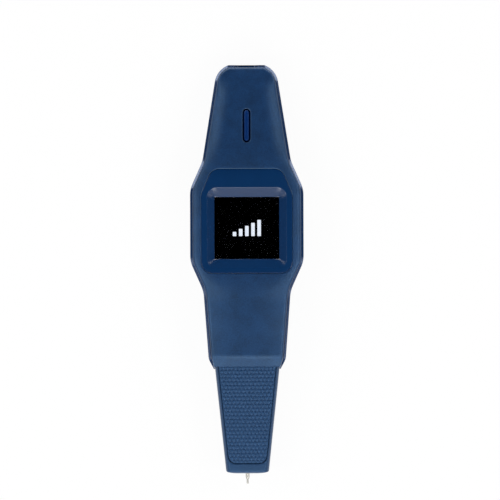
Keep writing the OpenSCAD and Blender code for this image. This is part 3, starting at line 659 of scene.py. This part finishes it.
def screw_places():
    """Middles of the four screws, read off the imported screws' points in each quarter."""
    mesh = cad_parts["case_screws"].data
    points = np.empty(3 * len(mesh.vertices))
    mesh.vertices.foreach_get("co", points)
    points = points.reshape(-1, 3) / MM
    middle = (points.min(axis=0) + points.max(axis=0)) / 2
    places = []
    for left in (False, True):
        for low in (False, True):
            part = points[((points[:, 0] < middle[0]) == left) & ((points[:, 1] < middle[1]) == low)]
            centre = (part.min(axis=0) + part.max(axis=0)) / 2
            places.append((centre[0], centre[1] - nose_y))
    return places


def well_cutter(name, x, s):
    """Stepped cutter round one screw: its hole, its seat and its head's well with a small round lip."""
    below, out = lip(well_lip)
    radii = np.concatenate([[screw_hole_r] * 2, screw_head_r + np.concatenate([[0], out, out[-1:]])])
    heights = np.concatenate([[2 * wall, screw_seat, screw_seat], below, [-wall]])
    turn = np.linspace(0, 2 * math.pi, 48, endpoint=False)
    loops = [stacked(x + r * np.cos(turn), s + r * np.sin(turn), z) for r, z in zip(radii, heights)]
    return solid(name, loops)


def build_case_back(material):
    """Rear shell: a narrow joint groove that runs out at the collar, a sloped rim, drafted sides and an
    elliptic edge round the flat back, with the screw wells and the charging mouth cut into it."""
    tongue_gap = 0.05
    rim_edge = 0.04
    crest_r = 0.03
    brow_r = 0.08
    flank_r = 1.2
    tongue_in = reveal + tongue_gap
    rim_in = reveal - joint_gap
    rim_run = rim_in - rim_edge
    groove_z = parting_z - joint_depth
    rim = [[rim_in - t * rim_run, parting_z - t * rim_run * math.tan(rim_slope)]
           for t in (0, rim_flat, 1 - 2 * rim_flat, 1)]
    line = rounded([[tongue_in, parting_z], [tongue_in, groove_z], [rim_in, groove_z], *rim,
                    [0, parting_z - 3 * rim_run], [back_draft, back_rise]],
                   [0, 0, 0, crest_r, 0, 0, brow_r, flank_r, 0], steps=5, closed=False)
    turn = np.linspace(math.pi / 2, 0, 15)[1:]
    inwards = 1 - np.sin(turn)
    up = 1 - np.cos(turn)
    curve = stacked(back_draft + back_run * inwards, back_rise * up)
    outside = np.concatenate([line, curve])
    inner_run = back_run + back_draft - inner_inset
    inside_curve = stacked(inner_inset + inner_run * inwards, mix(wall, back_rise, up))
    inside_line = stacked(inner_inset, np.linspace(parting_z, back_rise, len(line)))
    inside = np.concatenate([inside_line, inside_curve])
    plain = outside[:, 1].copy()
    plain[1:3] = parting_z
    plain = np.minimum.accumulate(plain)

    def outer_heights(s, w):
        """Rings of the outside: no groove at the collar, and the whole groove past collar_run."""
        return mix(plain[:, None], outside[:, 1:], ease((s - collar_s) / collar_run))

    def inner_heights(s, w):
        """Rings of the inside, each level all along."""
        return np.broadcast_to(inside[:, 1:], s.shape)

    outer = half_case(outside[:, 0], outer_heights, lambda s, x, half: 0 * s, collar_s)
    inner = half_case(inside[:, 0], inner_heights, lambda s, x, half: 0 * s + wall, cavity_s + mouth_step)
    piece = close_case("case_back", outer, inner, upper=False)
    wells = [well_cutter(f"well_{k}", x, s) for k, (x, s) in enumerate(screw_places())]
    carve(piece, [*wells, socket_cutter("charging_mouth")])
    return dress(piece, "housing", material, ["rear_shell"])


def lathe(profile, steps=64):
    """Loops round the probe's axis: profile gives radius and distance along."""
    profile = np.asarray(profile, float)
    turn = np.linspace(0, 2 * math.pi, steps, endpoint=False)
    r = profile[:, :1]
    return stacked(r * np.cos(turn), profile[:, 1:], nose_z + r * np.sin(turn))


grip_top = collar_s + collar_rake


def grip_half(s):
    """Half width of a grip pad: the nose's less the rim beside the pad."""
    return nose_half(s)[..., 0] - grip_rim


def grip_line(grow):
    """Outline of a grip pad grown on every side: a taper with round lower corners, square at the collar."""
    low = grip_half(grip_end) + grow
    high = grip_half(grip_top) + grow
    bottom = grip_end - grow
    top = grip_top + grow
    points = [[low, bottom], [high, top], [-high, top], [-low, bottom]]
    return rounded(points, [grip_r + grow, 0, 0, grip_r + grow], steps=10)


def nose_face(s, way):
    """Height of the nose's upper (way 1) or lower (way -1) face."""
    return nose_z + way * nose_half(s)[..., 1]


def build_nose(material):
    """Nose sleeve: rounded oblongs from a domed end to its back, hollow round the probe's tube, with a
    shallow pocket for a grip pad in each face. The dome's depth is the sum of two powers of its share."""
    bulge_power = 4.5
    edge_power = 60
    pocket_lip = 0.18
    flare = 0.2
    flare_l = 0.22
    past = 1.0
    share = np.concatenate([np.linspace(0.04, 0.9, 14), np.linspace(0.93, 1, 10)])
    dome = nose_bulge * share ** bulge_power + (nose_dome_l - nose_bulge) * share ** edge_power
    loops = [nose_loop(s, 0, f, nose_dome_l) for s, f in zip(dome, share)]
    loops += [nose_loop(s) for s in np.linspace(nose_dome_l, nose_back, 24)[1:]]
    piece = solid("nose", loops)
    hollow = solid("hollow", [nose_loop(s, -nose_wall) for s in (nose_end_wall, nose_back + past)])
    below, out = lip(pocket_lip, steps=4)
    grows = np.concatenate([[0], out, out[-1:]]) + grip_groove
    pockets = []
    for way in (1, -1):
        levels = [lambda x, s, d=d: nose_face(s, way) - way * d for d in (grip_t, *below, -past)]
        pockets.append(flared_cutter("pocket", grip_line, levels, grows))
    carve(piece, [hollow, *pockets])
    tube = solid("tube", lathe([(probe_tube_r, nose_end_wall / 2), (probe_tube_r, probe_tube_l)]))
    carve(piece, [tube], operation="UNION")
    bore = [(nose_hole_r + 1.5 * flare, -past), (nose_hole_r + flare, 0.0), (nose_hole_r, flare_l),
            (nose_hole_r, nose_hole_l), (probe_seat_r, nose_hole_l), (probe_seat_r, probe_tube_l + past)]
    carve(piece, [solid("bore", lathe(bore))])
    return dress(piece, "housing", material, ["nose_sleeve"])


def dot_distance(x, s):
    """Distance to the nearest dot of two oblong lattices, the second moved half a step both ways."""
    found = []
    for shift in (0, 0.5):
        dx = (x / dot_across + shift + 0.5) % 1 - 0.5
        ds = (s / dot_along + shift + 0.5) % 1 - 0.5
        found.append(np.hypot(dx * dot_across, ds * dot_along))
    return np.minimum(*found)


def build_grip(name, way, material, node):
    """Grip pad: a grid that fills the tapered outline and follows the nose's face, with staggered round dots
    raised on it and a round edge. A dot's height is the root of one less the square of the distance over
    its radius."""
    edge = 0.4
    plain = 0.5
    crowd = 1.5
    s = np.concatenate([mix(grip_end, grip_end + grip_r, np.linspace(0, 1, 30) ** crowd),
                        np.linspace(grip_end + grip_r, grip_top, 330)[1:]])[:, None]
    u = np.linspace(-1, 1, 201)
    corner = np.sqrt(np.maximum(grip_r ** 2 - np.maximum(grip_end + grip_r - s, 0) ** 2, 0)) - grip_r
    half = grip_half(s[:, 0])[:, None] + corner
    x = u * half
    dots = np.sqrt(np.maximum(1 - (dot_distance(x, s) / dot_r) ** 2, 0))
    inside = np.minimum((1 - np.abs(u)) * half, s - grip_end)
    round_off = edge - np.sqrt(np.maximum(edge ** 2 - np.maximum(edge - inside, 0) ** 2, 0))
    height = dot_rise * (dots * ease((inside - edge) / plain) - 1) - round_off
    top = stacked(x, s, nose_face(s, way) + way * height)
    rim = np.concatenate([top[0], top[1:, -1], top[-1, -2::-1], top[-2:0:-1, 0]])
    floor = rim.copy()
    floor[:, 2] = nose_face(rim[:, 1], way) - way * grip_t
    skin = Skin().grid(top).grid(np.stack([rim, floor]), around=True).disc(floor)
    return dress(skin.make(name), "housing", material, [node], crease=60)


def ease_in(t, soft):
    """Zero before -soft, a parabola up to soft, then t itself: a straight slope with a rounded start."""
    return 0.0 if t <= -soft else t if t >= soft else (t + soft) ** 2 / (4 * soft)


def build_bezel(material):
    """Bezel frame: loops taken by direction from the window's middle, up the outer wall, over a round rim,
    across the flat, down the dished slope to the lip and back underneath."""
    turn = np.linspace(0, 2 * math.pi, 960, endpoint=False)
    centre = np.array([0, view_s])
    outer_round = 0.2
    dish_soft = 0.03
    edge_round = 0.07
    edge_from = math.radians(25)
    view = np.array([view_w, view_h]) / 2
    wide = view + [slope_side, slope_end]

    def frame_line(half, r):
        """Oblong about the window's middle with round corners."""
        points = [[half[0], -half[1]], [half[0], half[1]], [-half[0], half[1]], [-half[0], -half[1]]]
        return rounded(np.array(points) + centre, [r] * 4, steps=16)

    quarter = np.linspace(0, math.pi / 2, 6)
    outer = [(by_angle(bezel_line(-outer_round * (1 - math.cos(a))), centre, turn),
              bezel_top - outer_round * (1 - math.sin(a))) for a in quarter]
    foot = [(by_angle(bezel_line(0), centre, turn), bezel_z)]
    inner_r = by_angle(frame_line(view, view_r), centre, turn)
    wide_r = by_angle(frame_line(wide, dish_r), centre, turn)
    drop = bezel_top - bezel_z - bezel_lip
    slope = []
    for t in np.concatenate([np.linspace(-dish_soft, dish_soft, 5), np.linspace(0.2, 0.95, 6)]):
        slope.append((mix(wide_r, inner_r, t), bezel_top - drop * ease_in(t, dish_soft)))
    edge_z = bezel_z + bezel_lip
    lip_loops = [(inner_r + edge_round * (1 - math.sin(a)), edge_z - edge_round * (1 - math.cos(a)))
                 for a in np.linspace(edge_from, math.pi / 2, 5)] + [(inner_r, bezel_z)]
    loops = foot + outer + slope + lip_loops
    points = np.array([stacked(r * np.cos(turn), view_s + r * np.sin(turn), z) for r, z in loops])
    piece = Skin().ring(points).make("bezel_frame")
    return dress(piece, "housing", material, ["screen_bezel"], crease=28)


def build_button(material):
    """Button cap: a stem, a hidden flange and a slim capsule with a low dome along the face's slope."""
    stem_l = 1.1
    side_gap = 0.12
    edge = 0.6
    dome = 0.06
    ridge = 0.05
    flange_z = cap_low[2] + stem_l
    top = face_height(button_s) + button_proud
    slope = (face_height(button_s + 1) - face_height(button_s - 1)) / 2
    turn = np.linspace(0, math.pi / 2, 9)
    dome_insets = [0.75, 0.9, button_w / 2 - side_gap - ridge]
    dome_drops = [-dome / 2, -dome * 5 / 6, -dome]
    insets = side_gap + np.concatenate([edge * (1 - np.cos(turn)), dome_insets])
    drops = np.concatenate([edge * (1 - np.sin(turn)), dome_drops])
    loops = []
    for inset, drop in zip(insets, drops):
        line = capsule(button_w - 2 * inset, button_l - 2 * inset)
        x, s = line.T
        loops.append(stacked(x, s + button_s, top - dome - drop + slope * s))
    flange = capsule(button_w + 2 * button_flange, button_l + 2 * button_flange)
    body = capsule(button_w, button_l)
    stem_turn = np.linspace(0, 2 * math.pi, len(body), endpoint=False)
    stem = button_stem_r * stacked(np.cos(stem_turn), np.sin(stem_turn))
    flange_top = flange_z + button_flange_t
    lower = [(stem, cap_low[2]), (stem, flange_z), (flange, flange_z), (flange, flange_top),
             (body, flange_top)]
    under = [stacked(line[:, 0], line[:, 1] + button_s, z) for line, z in lower]
    piece = solid("button_top", under + loops)
    return dress(piece, "power_button", material, ["button_cap"], crease=40)


def build_probe(material):
    """Turned metal: a needle with a rounded point that slides in a sleeve with a tapered, rounded mouth."""
    point_wide = 0.5
    point_long = 0.3
    least_r = 0.02
    cone_l = 0.4
    gap = 0.05
    bevel_l = 0.05
    bevel_r = 0.04
    land = 0.1
    soft = 0.06
    taper_l = 0.66
    out = tip_low[1] - nose_y
    back = tip_high[1] - nose_y
    r = (tip_high[0] - tip_low[0]) / 2
    turn = np.linspace(0, math.pi / 2, 7)
    point_r = np.maximum(least_r, point_wide * r * np.sin(turn))
    point_s = out + point_long * r * (1 - np.cos(turn))
    point = list(zip(point_r, point_s))
    tip = solid("probe_needle", lathe(point + [(r, out + cone_l), (r, back)]))
    dress(tip, "probe", material, ["probe_tip"])
    mouth = metal_low[1] - nose_y
    end = metal_high[1] - nose_y
    radius = (metal_high[0] - metal_low[0]) / 2
    bore = r + gap
    profile = [(bore, end), (bore, mouth + bevel_l), (bore + bevel_r, mouth), (bore + land, mouth),
               (bore + land + bevel_r, mouth + soft), (radius - soft, mouth + taper_l),
               (radius, mouth + taper_l + 3 * soft), (radius, end)]
    sleeve = Skin().ring(lathe(profile)).make("probe_collar")
    dress(sleeve, "housing", material, ["probe_sleeve"])


def build_spring(material):
    """Probe spring: a round wire on a helix between the ends of the imported spring."""
    low, high = span("probe_spring")
    thick = spring_wire / 2
    first = low[1] - nose_y + thick
    last = high[1] - nose_y - thick
    along = np.linspace(0, 1, 36 * spring_turns + 1)[:, None]
    turn = 2 * math.pi * spring_turns * along
    ring = np.linspace(0, 2 * math.pi, 10, endpoint=False)
    r = high[0] - thick + thick * np.cos(ring)
    s = mix(first, last, along) + thick * np.sin(ring)
    loops = stacked(r * np.cos(turn), s, nose_z + r * np.sin(turn))
    piece = dress(solid("probe_coil", loops), None, material, ["probe_spring"])
    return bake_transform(piece)


def build_level_bars(material):
    """Five bars with round corners, lit on the display panel; each is higher than the last by one step."""
    count = 5
    width = 1.5
    pitch = 2.58
    shortest = 1.8
    tallest = 6.8
    corner_r = 0.25
    thick = 0.06
    low = view_s - tallest / 2
    skin = Skin()
    for k in range(count):
        high = low + mix(shortest, tallest, k / (count - 1))
        left = (k - (count - 1) / 2) * pitch - width / 2
        right = left + width
        line = rounded([[left, low], [right, low], [right, high], [left, high]], [corner_r] * 4, steps=5)
        skin.tube(np.array([stacked(*line.T, panel_top + t) for t in (CLEAR, thick)]))
    return dress(skin.make("level_bars"), "housing", material)


# Finishes
def paint(red, green, blue):
    """Screen colour from 0 to 255 as the linear colour that a shader takes."""
    c = np.array([red, green, blue]) / 255
    return (*np.where(c <= 0.04045, c / 12.92, ((c + 0.055) / 1.055) ** 2.4), 1.0)


def new_group(name, inputs, outputs):
    """Empty shader group with its named sockets; returns the tree, its input node and its output node."""
    tree = bpy.data.node_groups.new(name, "ShaderNodeTree")
    for label, kind, value in inputs:
        made = tree.interface.new_socket(label, in_out="INPUT", socket_type=kind)
        if value is not None:
            made.default_value = value
    for label, kind in outputs:
        tree.interface.new_socket(label, in_out="OUTPUT", socket_type=kind)
    return tree, tree.nodes.new("NodeGroupInput"), tree.nodes.new("NodeGroupOutput")


def feed(tree, node, values):
    """Gives inputs of a node, by name or number, each a socket to follow or a fixed number or colour."""
    for key, value in values.items():
        if isinstance(value, bpy.types.NodeSocket):
            tree.links.new(value, node.inputs[key])
        else:
            node.inputs[key].default_value = value


def add_node(tree, kind, values, **settings):
    """New shader node of a kind, with its settings first and then its inputs."""
    node = tree.nodes.new("ShaderNode" + kind)
    for name, value in settings.items():
        setattr(node, name, value)
    feed(tree, node, values)
    return node


def math_node(tree, operation, a, b=0.0):
    """One arithmetic node; a and b are sockets or numbers."""
    return add_node(tree, "Math", {0: a, 1: b}, operation=operation).outputs[0]


def graded(tree, value, start, stop):
    """Smooth step of a socket's value from 0 at start to 1 at stop."""
    ends = {"Value": value, "From Min": start, "From Max": stop}
    return add_node(tree, "MapRange", ends, interpolation_type="SMOOTHSTEP").outputs["Result"]


def drawn_out(tree, value, low, high):
    """Straight map of a socket's value from between 0 and 1 to between low and high."""
    return add_node(tree, "MapRange", {"Value": value, "To Min": low, "To Max": high}).outputs["Result"]


def noise(tree, place, scale, detail=2.0):
    """Noise between 0 and 1 over a place; scale is a number or a socket."""
    return add_node(tree, "TexNoise", {"Vector": place, "Scale": scale, "Detail": detail}).outputs["Fac"]


def two_tone(tree, share, first, second):
    """Colour from first at share 0 to second at share 1; each is a colour or a socket."""
    return add_node(tree, "Mix", {"Factor": share, 6: first, 7: second}, data_type="RGBA").outputs[2]


def texture(tree, shader, height, roughness, swing, depth):
    """Height between 0 and 1 as a bump of some millimetres, and as a swing of the roughness both ways."""
    rough = drawn_out(tree, height, roughness - swing, roughness + swing)
    bump = add_node(tree, "Bump", {"Height": height, "Strength": 1.0, "Distance": depth * MM})
    feed(tree, shader, {"Roughness": rough, "Normal": bump.outputs["Normal"]})


def make_moulded_grain():
    """Grain of a moulded shell. Height: one less the square of the distance to the nearest pebble, mixed with
    fine noise. Tone: a fine speckle and a slow mottle."""
    smoothness = 0.7
    fine_scale = 1.7
    mottle_scale = 0.16
    speckle_share = 0.6
    tree, given, result = new_group(
        "moulded_grain",
        [("Vector", "NodeSocketVector", None), ("Pebbles per mm", "NodeSocketFloat", 2.0),
         ("Pebble share", "NodeSocketFloat", 0.7)],
        [("Height", "NodeSocketFloat"), ("Tone", "NodeSocketFloat")])
    place = given.outputs["Vector"]
    pebbles = given.outputs["Pebbles per mm"]
    share = given.outputs["Pebble share"]
    cells = add_node(tree, "TexVoronoi", {"Vector": place, "Scale": pebbles, "Smoothness": smoothness},
                     feature="SMOOTH_F1")
    hollow = math_node(tree, "POWER", cells.outputs["Distance"], 2.0)
    part = math_node(tree, "MULTIPLY", math_node(tree, "SUBTRACT", 1.0, hollow), share)
    fine = noise(tree, place, math_node(tree, "MULTIPLY", pebbles, fine_scale), detail=4.0)
    rest = math_node(tree, "MULTIPLY", fine, math_node(tree, "SUBTRACT", 1.0, share))
    speckle = math_node(tree, "MULTIPLY", noise(tree, place, pebbles), speckle_share)
    slow = math_node(tree, "MULTIPLY", noise(tree, place, mottle_scale, detail=3.0), 1 - speckle_share)
    height = math_node(tree, "ADD", part, rest)
    feed(tree, result, {"Height": height, "Tone": math_node(tree, "ADD", speckle, slow)})
    return tree


moulded_grain = make_moulded_grain()

# Where the mottle turns from deep to pale, and where painted groove shade starts as a share of a dot's radius
tone_span = (0.3, 0.7)
groove_shade_from = 0.55


def new_material(name):
    """Material with nodes: itself, its tree and its shader."""
    material = bpy.data.materials.new(name)
    material.use_nodes = True
    tree = material.node_tree
    return material, tree, tree.nodes["Principled BSDF"]


def millimetres(tree):
    """Object coordinates in millimetres."""
    place = tree.nodes.new("ShaderNodeTexCoord").outputs["Object"]
    return add_node(tree, "Mapping", {"Vector": place, "Scale": (1 / MM, 1 / MM, 1 / MM)}).outputs["Vector"]


def moulded(name, colour, roughness, pebbles=2.0, share=0.7, depth=0.05, mottle=0.12, gloss=0.5,
            tint=(1, 1, 1), index=1.5):
    """Moulded plastic or rubber: grain as bump and as roughness, and a mottle of its colour; gloss, tint and
    index set how strong and what colour its reflections are."""
    material, tree, shader = new_material(name)
    values = {"Vector": millimetres(tree), "Pebbles per mm": pebbles, "Pebble share": share}
    grain = add_node(tree, "Group", values, node_tree=moulded_grain)
    base = np.array(paint(*colour))[:3]
    tone = graded(tree, grain.outputs["Tone"], *tone_span)
    mottled = two_tone(tree, tone, (*(base * (1 - mottle)), 1), (*(base * (1 + mottle)), 1))
    texture(tree, shader, grain.outputs["Height"], roughness, swing=0.06, depth=depth)
    feed(tree, shader, {"Base Color": mottled, "IOR": index, "Specular IOR Level": gloss,
                        "Specular Tint": (*tint, 1)})
    return material


def dotted_rubber(name, colour, groove_shade_colour, roughness, gloss, tint):
    """Grip rubber: moulded, with painted shade in the grooves, by the distance to the nearest dot."""
    material = moulded(name, colour, roughness, pebbles=4.5, share=0.4, depth=0.012, gloss=gloss, tint=tint)
    tree = material.node_tree
    shader = tree.nodes["Principled BSDF"]
    tone = shader.inputs["Base Color"].links[0].from_socket
    parts = add_node(tree, "SeparateXYZ", {"Vector": millimetres(tree)})
    along = math_node(tree, "SUBTRACT", parts.outputs["Y"], float(nose_y))
    found = []
    for shift in (0, 0.5):
        squares = []
        for place, pitch in ((parts.outputs["X"], dot_across), (along, dot_along)):
            turns = math_node(tree, "ADD", math_node(tree, "DIVIDE", place, pitch), shift + 0.5)
            off = math_node(tree, "SUBTRACT", math_node(tree, "FLOORED_MODULO", turns, 1.0), 0.5)
            reach = math_node(tree, "ABSOLUTE", math_node(tree, "MULTIPLY", off, pitch))
            squares.append(math_node(tree, "POWER", reach, 2.0))
        found.append(math_node(tree, "ADD", *squares))
    away = math_node(tree, "SQRT", math_node(tree, "MINIMUM", *found))
    # Painted shade: away from each dot's middle the grooves take a darker colour that stands in for their
    # shade
    groove = graded(tree, away, groove_shade_from * dot_r, dot_r)
    feed(tree, shader, {"Base Color": two_tone(tree, groove, tone, paint(*groove_shade_colour))})
    return material


def brushed(name, colour, roughness):
    """Bare metal with fine lines along its length: noise stretched along y."""
    material, tree, shader = new_material(name)
    stretch = add_node(tree, "Mapping", {"Vector": millimetres(tree), "Scale": (3.0, 0.4, 3.0)})
    lines = noise(tree, stretch.outputs["Vector"], scale=6.0, detail=3.0)
    texture(tree, shader, lines, roughness, swing=0.08, depth=0.004)
    feed(tree, shader, {"Base Color": paint(*colour), "Metallic": 1.0})
    return material


def window_glass():
    """Clear display glass with a faint smear in its gloss."""
    material, tree, shader = new_material("window_glass")
    smear = drawn_out(tree, noise(tree, millimetres(tree), scale=0.2), low=0.01, high=0.05)
    feed(tree, shader, {"Base Color": (0.9, 0.92, 0.95, 1), "Roughness": smear, "IOR": 1.3,
                        "Transmission Weight": 1.0})
    return material


def lit_white():
    """Lit bars: white with a faint cool cast that varies slowly across the display."""
    material, tree, shader = new_material("lit_bars")
    slow = noise(tree, millimetres(tree), scale=0.3)
    glow = two_tone(tree, slow, (0.75, 0.85, 1.0, 1), (1.0, 1.0, 1.0, 1))
    feed(tree, shader, {"Base Color": (0.02, 0.02, 0.02, 1), "Emission Color": glow,
                        "Emission Strength": 1.0})
    return material


# Finishes of the modelled pieces; cool is the tint of their reflections
cool = (0.42, 0.69, 1.0)
shell_finish = moulded("textured_shell", (16, 45, 82), 0.36, pebbles=2.2, depth=0.03, mottle=0.36, gloss=0.7,
                       tint=cool)
rear_finish = moulded("smooth_shell", (13, 44, 84), 0.16, pebbles=5.0, share=0.2, depth=0.002, mottle=0.08,
                      gloss=1.0, tint=(0.62, 0.74, 1.0), index=1.6)
nose_finish = moulded("satin_nose", (28, 55, 90), 0.42, pebbles=4.0, share=0.4, depth=0.01, gloss=0.6,
                      tint=cool)
# The grip's second colour is painted shade in the grooves between its dots
grip_finish = dotted_rubber("rubber_grip", (28, 59, 97), (21, 48, 84), 0.46, 0.6, cool)
bezel_finish = moulded("bezel_gloss", (10, 45, 85), 0.17, pebbles=5.0, share=0.2, depth=0.002, mottle=0.06)
button_finish = moulded("button_gloss", (8, 40, 91), 0.22, pebbles=5.0, share=0.2, depth=0.003, mottle=0.06,
                        gloss=0.25, tint=cool)
steel_finish = brushed("probe_steel", (190, 188, 182), 0.36)

build_case_front(shell_finish)
build_case_back(rear_finish)
build_nose(nose_finish)
build_grip("grip_pad_front", 1, grip_finish, "front_grip")
build_grip("grip_pad_back", -1, grip_finish, "rear_grip")
build_bezel(bezel_finish)
build_button(button_finish)
build_probe(steel_finish)
build_level_bars(lit_white())
plated_steel = brushed("plated_steel", (205, 206, 208), 0.32)
build_spring(plated_steel)

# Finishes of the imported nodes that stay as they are
dark_plastic = moulded("dark_plastic", (26, 26, 28), 0.45, pebbles=5.0, depth=0.01)
pale_plastic = moulded("pale_plastic", (222, 218, 206), 0.5, pebbles=5.0, depth=0.008, mottle=0.05)
panel_black = moulded("panel_black", (1, 1, 2), 0.25, pebbles=6.0, depth=0.001, gloss=0.05)
soft_foam = moulded("soft_foam", (40, 40, 42), 0.9, pebbles=6.0, depth=0.05)
board_green = moulded("board_green", (24, 84, 54), 0.4, pebbles=1.2, depth=0.02, mottle=0.25)
ribbon_amber = moulded("ribbon_amber", (186, 134, 52), 0.35, pebbles=1.5, depth=0.01)
lead_red = moulded("lead_red", (160, 32, 38), 0.45, pebbles=5.0, depth=0.01)
cell_foil = brushed("cell_foil", (196, 198, 202), 0.45)
dark_steel = brushed("dark_steel", (92, 94, 98), 0.38)
brass_tube = brushed("brass_tube", (196, 160, 88), 0.35)
copper_pin = brushed("copper_pin", (190, 120, 70), 0.35)
finishes = {
    window_glass(): ["display_window"],
    panel_black: ["display_panel"],
    soft_foam: ["display_gasket", "battery_pad"],
    pale_plastic: ["display_holder", "flex_connector", "battery_connector", "probe_connector", "probe_bush",
                   "probe_plug", "switch_plunger"],
    ribbon_amber: ["display_flex"],
    board_green: ["main_board"],
    dark_plastic: ["board_chips", "push_switch", "sounder", "socket_tongue"],
    plated_steel: ["charging_socket"],
    cell_foil: ["battery"],
    lead_red: ["battery_leads", "probe_leads"],
    dark_steel: ["case_screws"],
    brass_tube: ["probe_barrel"],
    copper_pin: ["probe_carrier"],
}
for material, names in finishes.items():
    for name in names:
        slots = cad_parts[name].data.materials
        slots.clear()
        slots.append(material)


# Floor, light and camera
def seen_directly(tree):
    """One for what the camera sees straight, in a reflection or through glass; zero for diffuse light."""
    path = tree.nodes.new("ShaderNodeLightPath")
    seen = math_node(tree, "MAXIMUM", path.outputs["Is Camera Ray"], path.outputs["Is Glossy Ray"])
    return math_node(tree, "MAXIMUM", seen, path.outputs["Is Transmission Ray"])


def choose(tree, share, first, second):
    """Mix of two shaders, from the first at share 0 to the second at share 1."""
    return add_node(tree, "MixShader", {"Fac": share, 1: first, 2: second}).outputs["Shader"]


def build_floor():
    """Wide pale floor: white to the camera with a faint shadow, and an ordinary pale matt to other light.
    Its reach each way is in metres."""
    reach = 4.0
    white_share = 0.94
    corner_points = [(-reach, -reach, 0), (reach, -reach, 0), (reach, reach, 0), (-reach, reach, 0)]
    mesh = bpy.data.meshes.new("floor")
    mesh.from_pydata(corner_points, [], [(0, 1, 2, 3)])
    floor = put("floor", mesh)
    material, tree, shader = new_material("floor")
    feed(tree, shader, {"Base Color": (0.9, 0.9, 0.9, 1), "Roughness": 0.9, "Specular IOR Level": 0.0})
    white = tree.nodes.new("ShaderNodeEmission").outputs["Emission"]
    share = math_node(tree, "MULTIPLY", seen_directly(tree), white_share)
    shown = choose(tree, share, shader.outputs["BSDF"], white)
    feed(tree, tree.nodes["Material Output"], {"Surface": shown})
    mesh.materials.append(material)


# Room: levels of light, and where each smooth step starts and stops as y or z of the direction looked in
wall_level = 1.15
room_level = 0.05
wall_side = (-0.04, -0.26)
wall_top = (0.72, 0.6)
wall_foot = (0.34, 0.46)
room_dark = (0.9, 0.0)
horizon = (0.16, 0.08)

# Lamps: their distance from the part, and the point that they face, in metres
lamp_reach = 1.2
lamp_target = (0, 0, 0.01)


def build_world():
    """Studio room: a pale wall towards the nose, dim elsewhere and dark overhead, so that faces turned up
    stay deep; a white backdrop goes on from the floor above the horizon."""
    world = bpy.data.worlds.new("studio")
    bpy.context.scene.world = world
    world.use_nodes = True
    tree = world.node_tree
    light = tree.nodes["Background"]
    place = tree.nodes.new("ShaderNodeTexCoord").outputs["Generated"]
    parts = add_node(tree, "SeparateXYZ", {"Vector": place})
    height = parts.outputs["Z"]
    band = math_node(tree, "MULTIPLY", graded(tree, height, *wall_top), graded(tree, height, *wall_foot))
    wall_glow = math_node(tree, "MULTIPLY", graded(tree, parts.outputs["Y"], *wall_side), band)
    dim = math_node(tree, "MULTIPLY", graded(tree, height, *room_dark), room_level)
    level = math_node(tree, "ADD", math_node(tree, "MULTIPLY", wall_glow, wall_level), dim)
    feed(tree, light, {"Color": (1, 1, 1, 1), "Strength": level})
    white = tree.nodes.new("ShaderNodeBackground").outputs["Background"]
    share = math_node(tree, "MULTIPLY", seen_directly(tree), graded(tree, height, *horizon))
    shown = choose(tree, share, light.outputs["Background"], white)
    feed(tree, tree.nodes["World Output"], {"Surface": shown})


def soft_box(name, azimuth, elevation, wide, high, radiance):
    """Rectangular lamp that faces the part and fills the angles wide and high as the part sees it; azimuth is
    counted from +X towards +Y and elevation up from the floor, all in degrees."""
    data = bpy.data.lights.new(name, "AREA")
    data.shape = "RECTANGLE"
    data.size = 2 * lamp_reach * math.tan(math.radians(wide) / 2)
    data.size_y = 2 * lamp_reach * math.tan(math.radians(high) / 2)
    data.energy = 4 * data.size * data.size_y * radiance
    lamp = put(name, data)
    lamp.visible_camera = False
    a = math.radians(azimuth)
    e = math.radians(elevation)
    flat = lamp_reach * math.cos(e)
    lamp.location = (flat * math.cos(a), flat * math.sin(a), lamp_reach * math.sin(e))
    lamp.rotation_euler = (Vector(lamp_target) - lamp.location).to_track_quat("-Z", "Y").to_euler()


def build_camera():
    """Long lens straight above the face, rolled a little as the photograph leans. Places are in metres, and
    frame_mm is the width of the view at the face."""
    distance = 1.5
    face_z = 0.011
    middle = (0.0013, 0.01037)
    lean = math.radians(-0.18)
    frame_mm = 210.7
    data = bpy.data.cameras.new("camera")
    data.sensor_width = 36
    data.lens = data.sensor_width * (distance - face_z) / (frame_mm * MM)
    camera = put("camera", data)
    camera.location = (*middle, distance)
    camera.rotation_euler = (0, 0, lean)
    bpy.context.scene.camera = camera


build_floor()
build_world()

# Each lamp: azimuth, elevation, width and height in degrees, and radiance
for way, name in ((1, "right"), (-1, "left")):
    soft_box(f"back_{name}", 90 - way * 46, 23, 47, 8, 3.4)
    soft_box(f"side_{name}", 90 - way * 64, 48, 18, 18, 2.6)
    soft_box(f"low_side_{name}", 90 - way * 102, 24, 10, 10, 0.9)
    soft_box(f"front_{name}", 90 - way * 107.5, 51, 16, 24, 4.2)
soft_box("front_middle", -90, 52, 38, 14, 4.2)
soft_box("front_top", -90, 68, 46, 14, 0.8)
soft_box("low_front", -90, 9, 59, 14, 4.4)
soft_box("low_back", 90, 8, 60, 12, 5.0)
build_camera()

scene = bpy.context.scene
scene.view_settings.view_transform = "Standard"
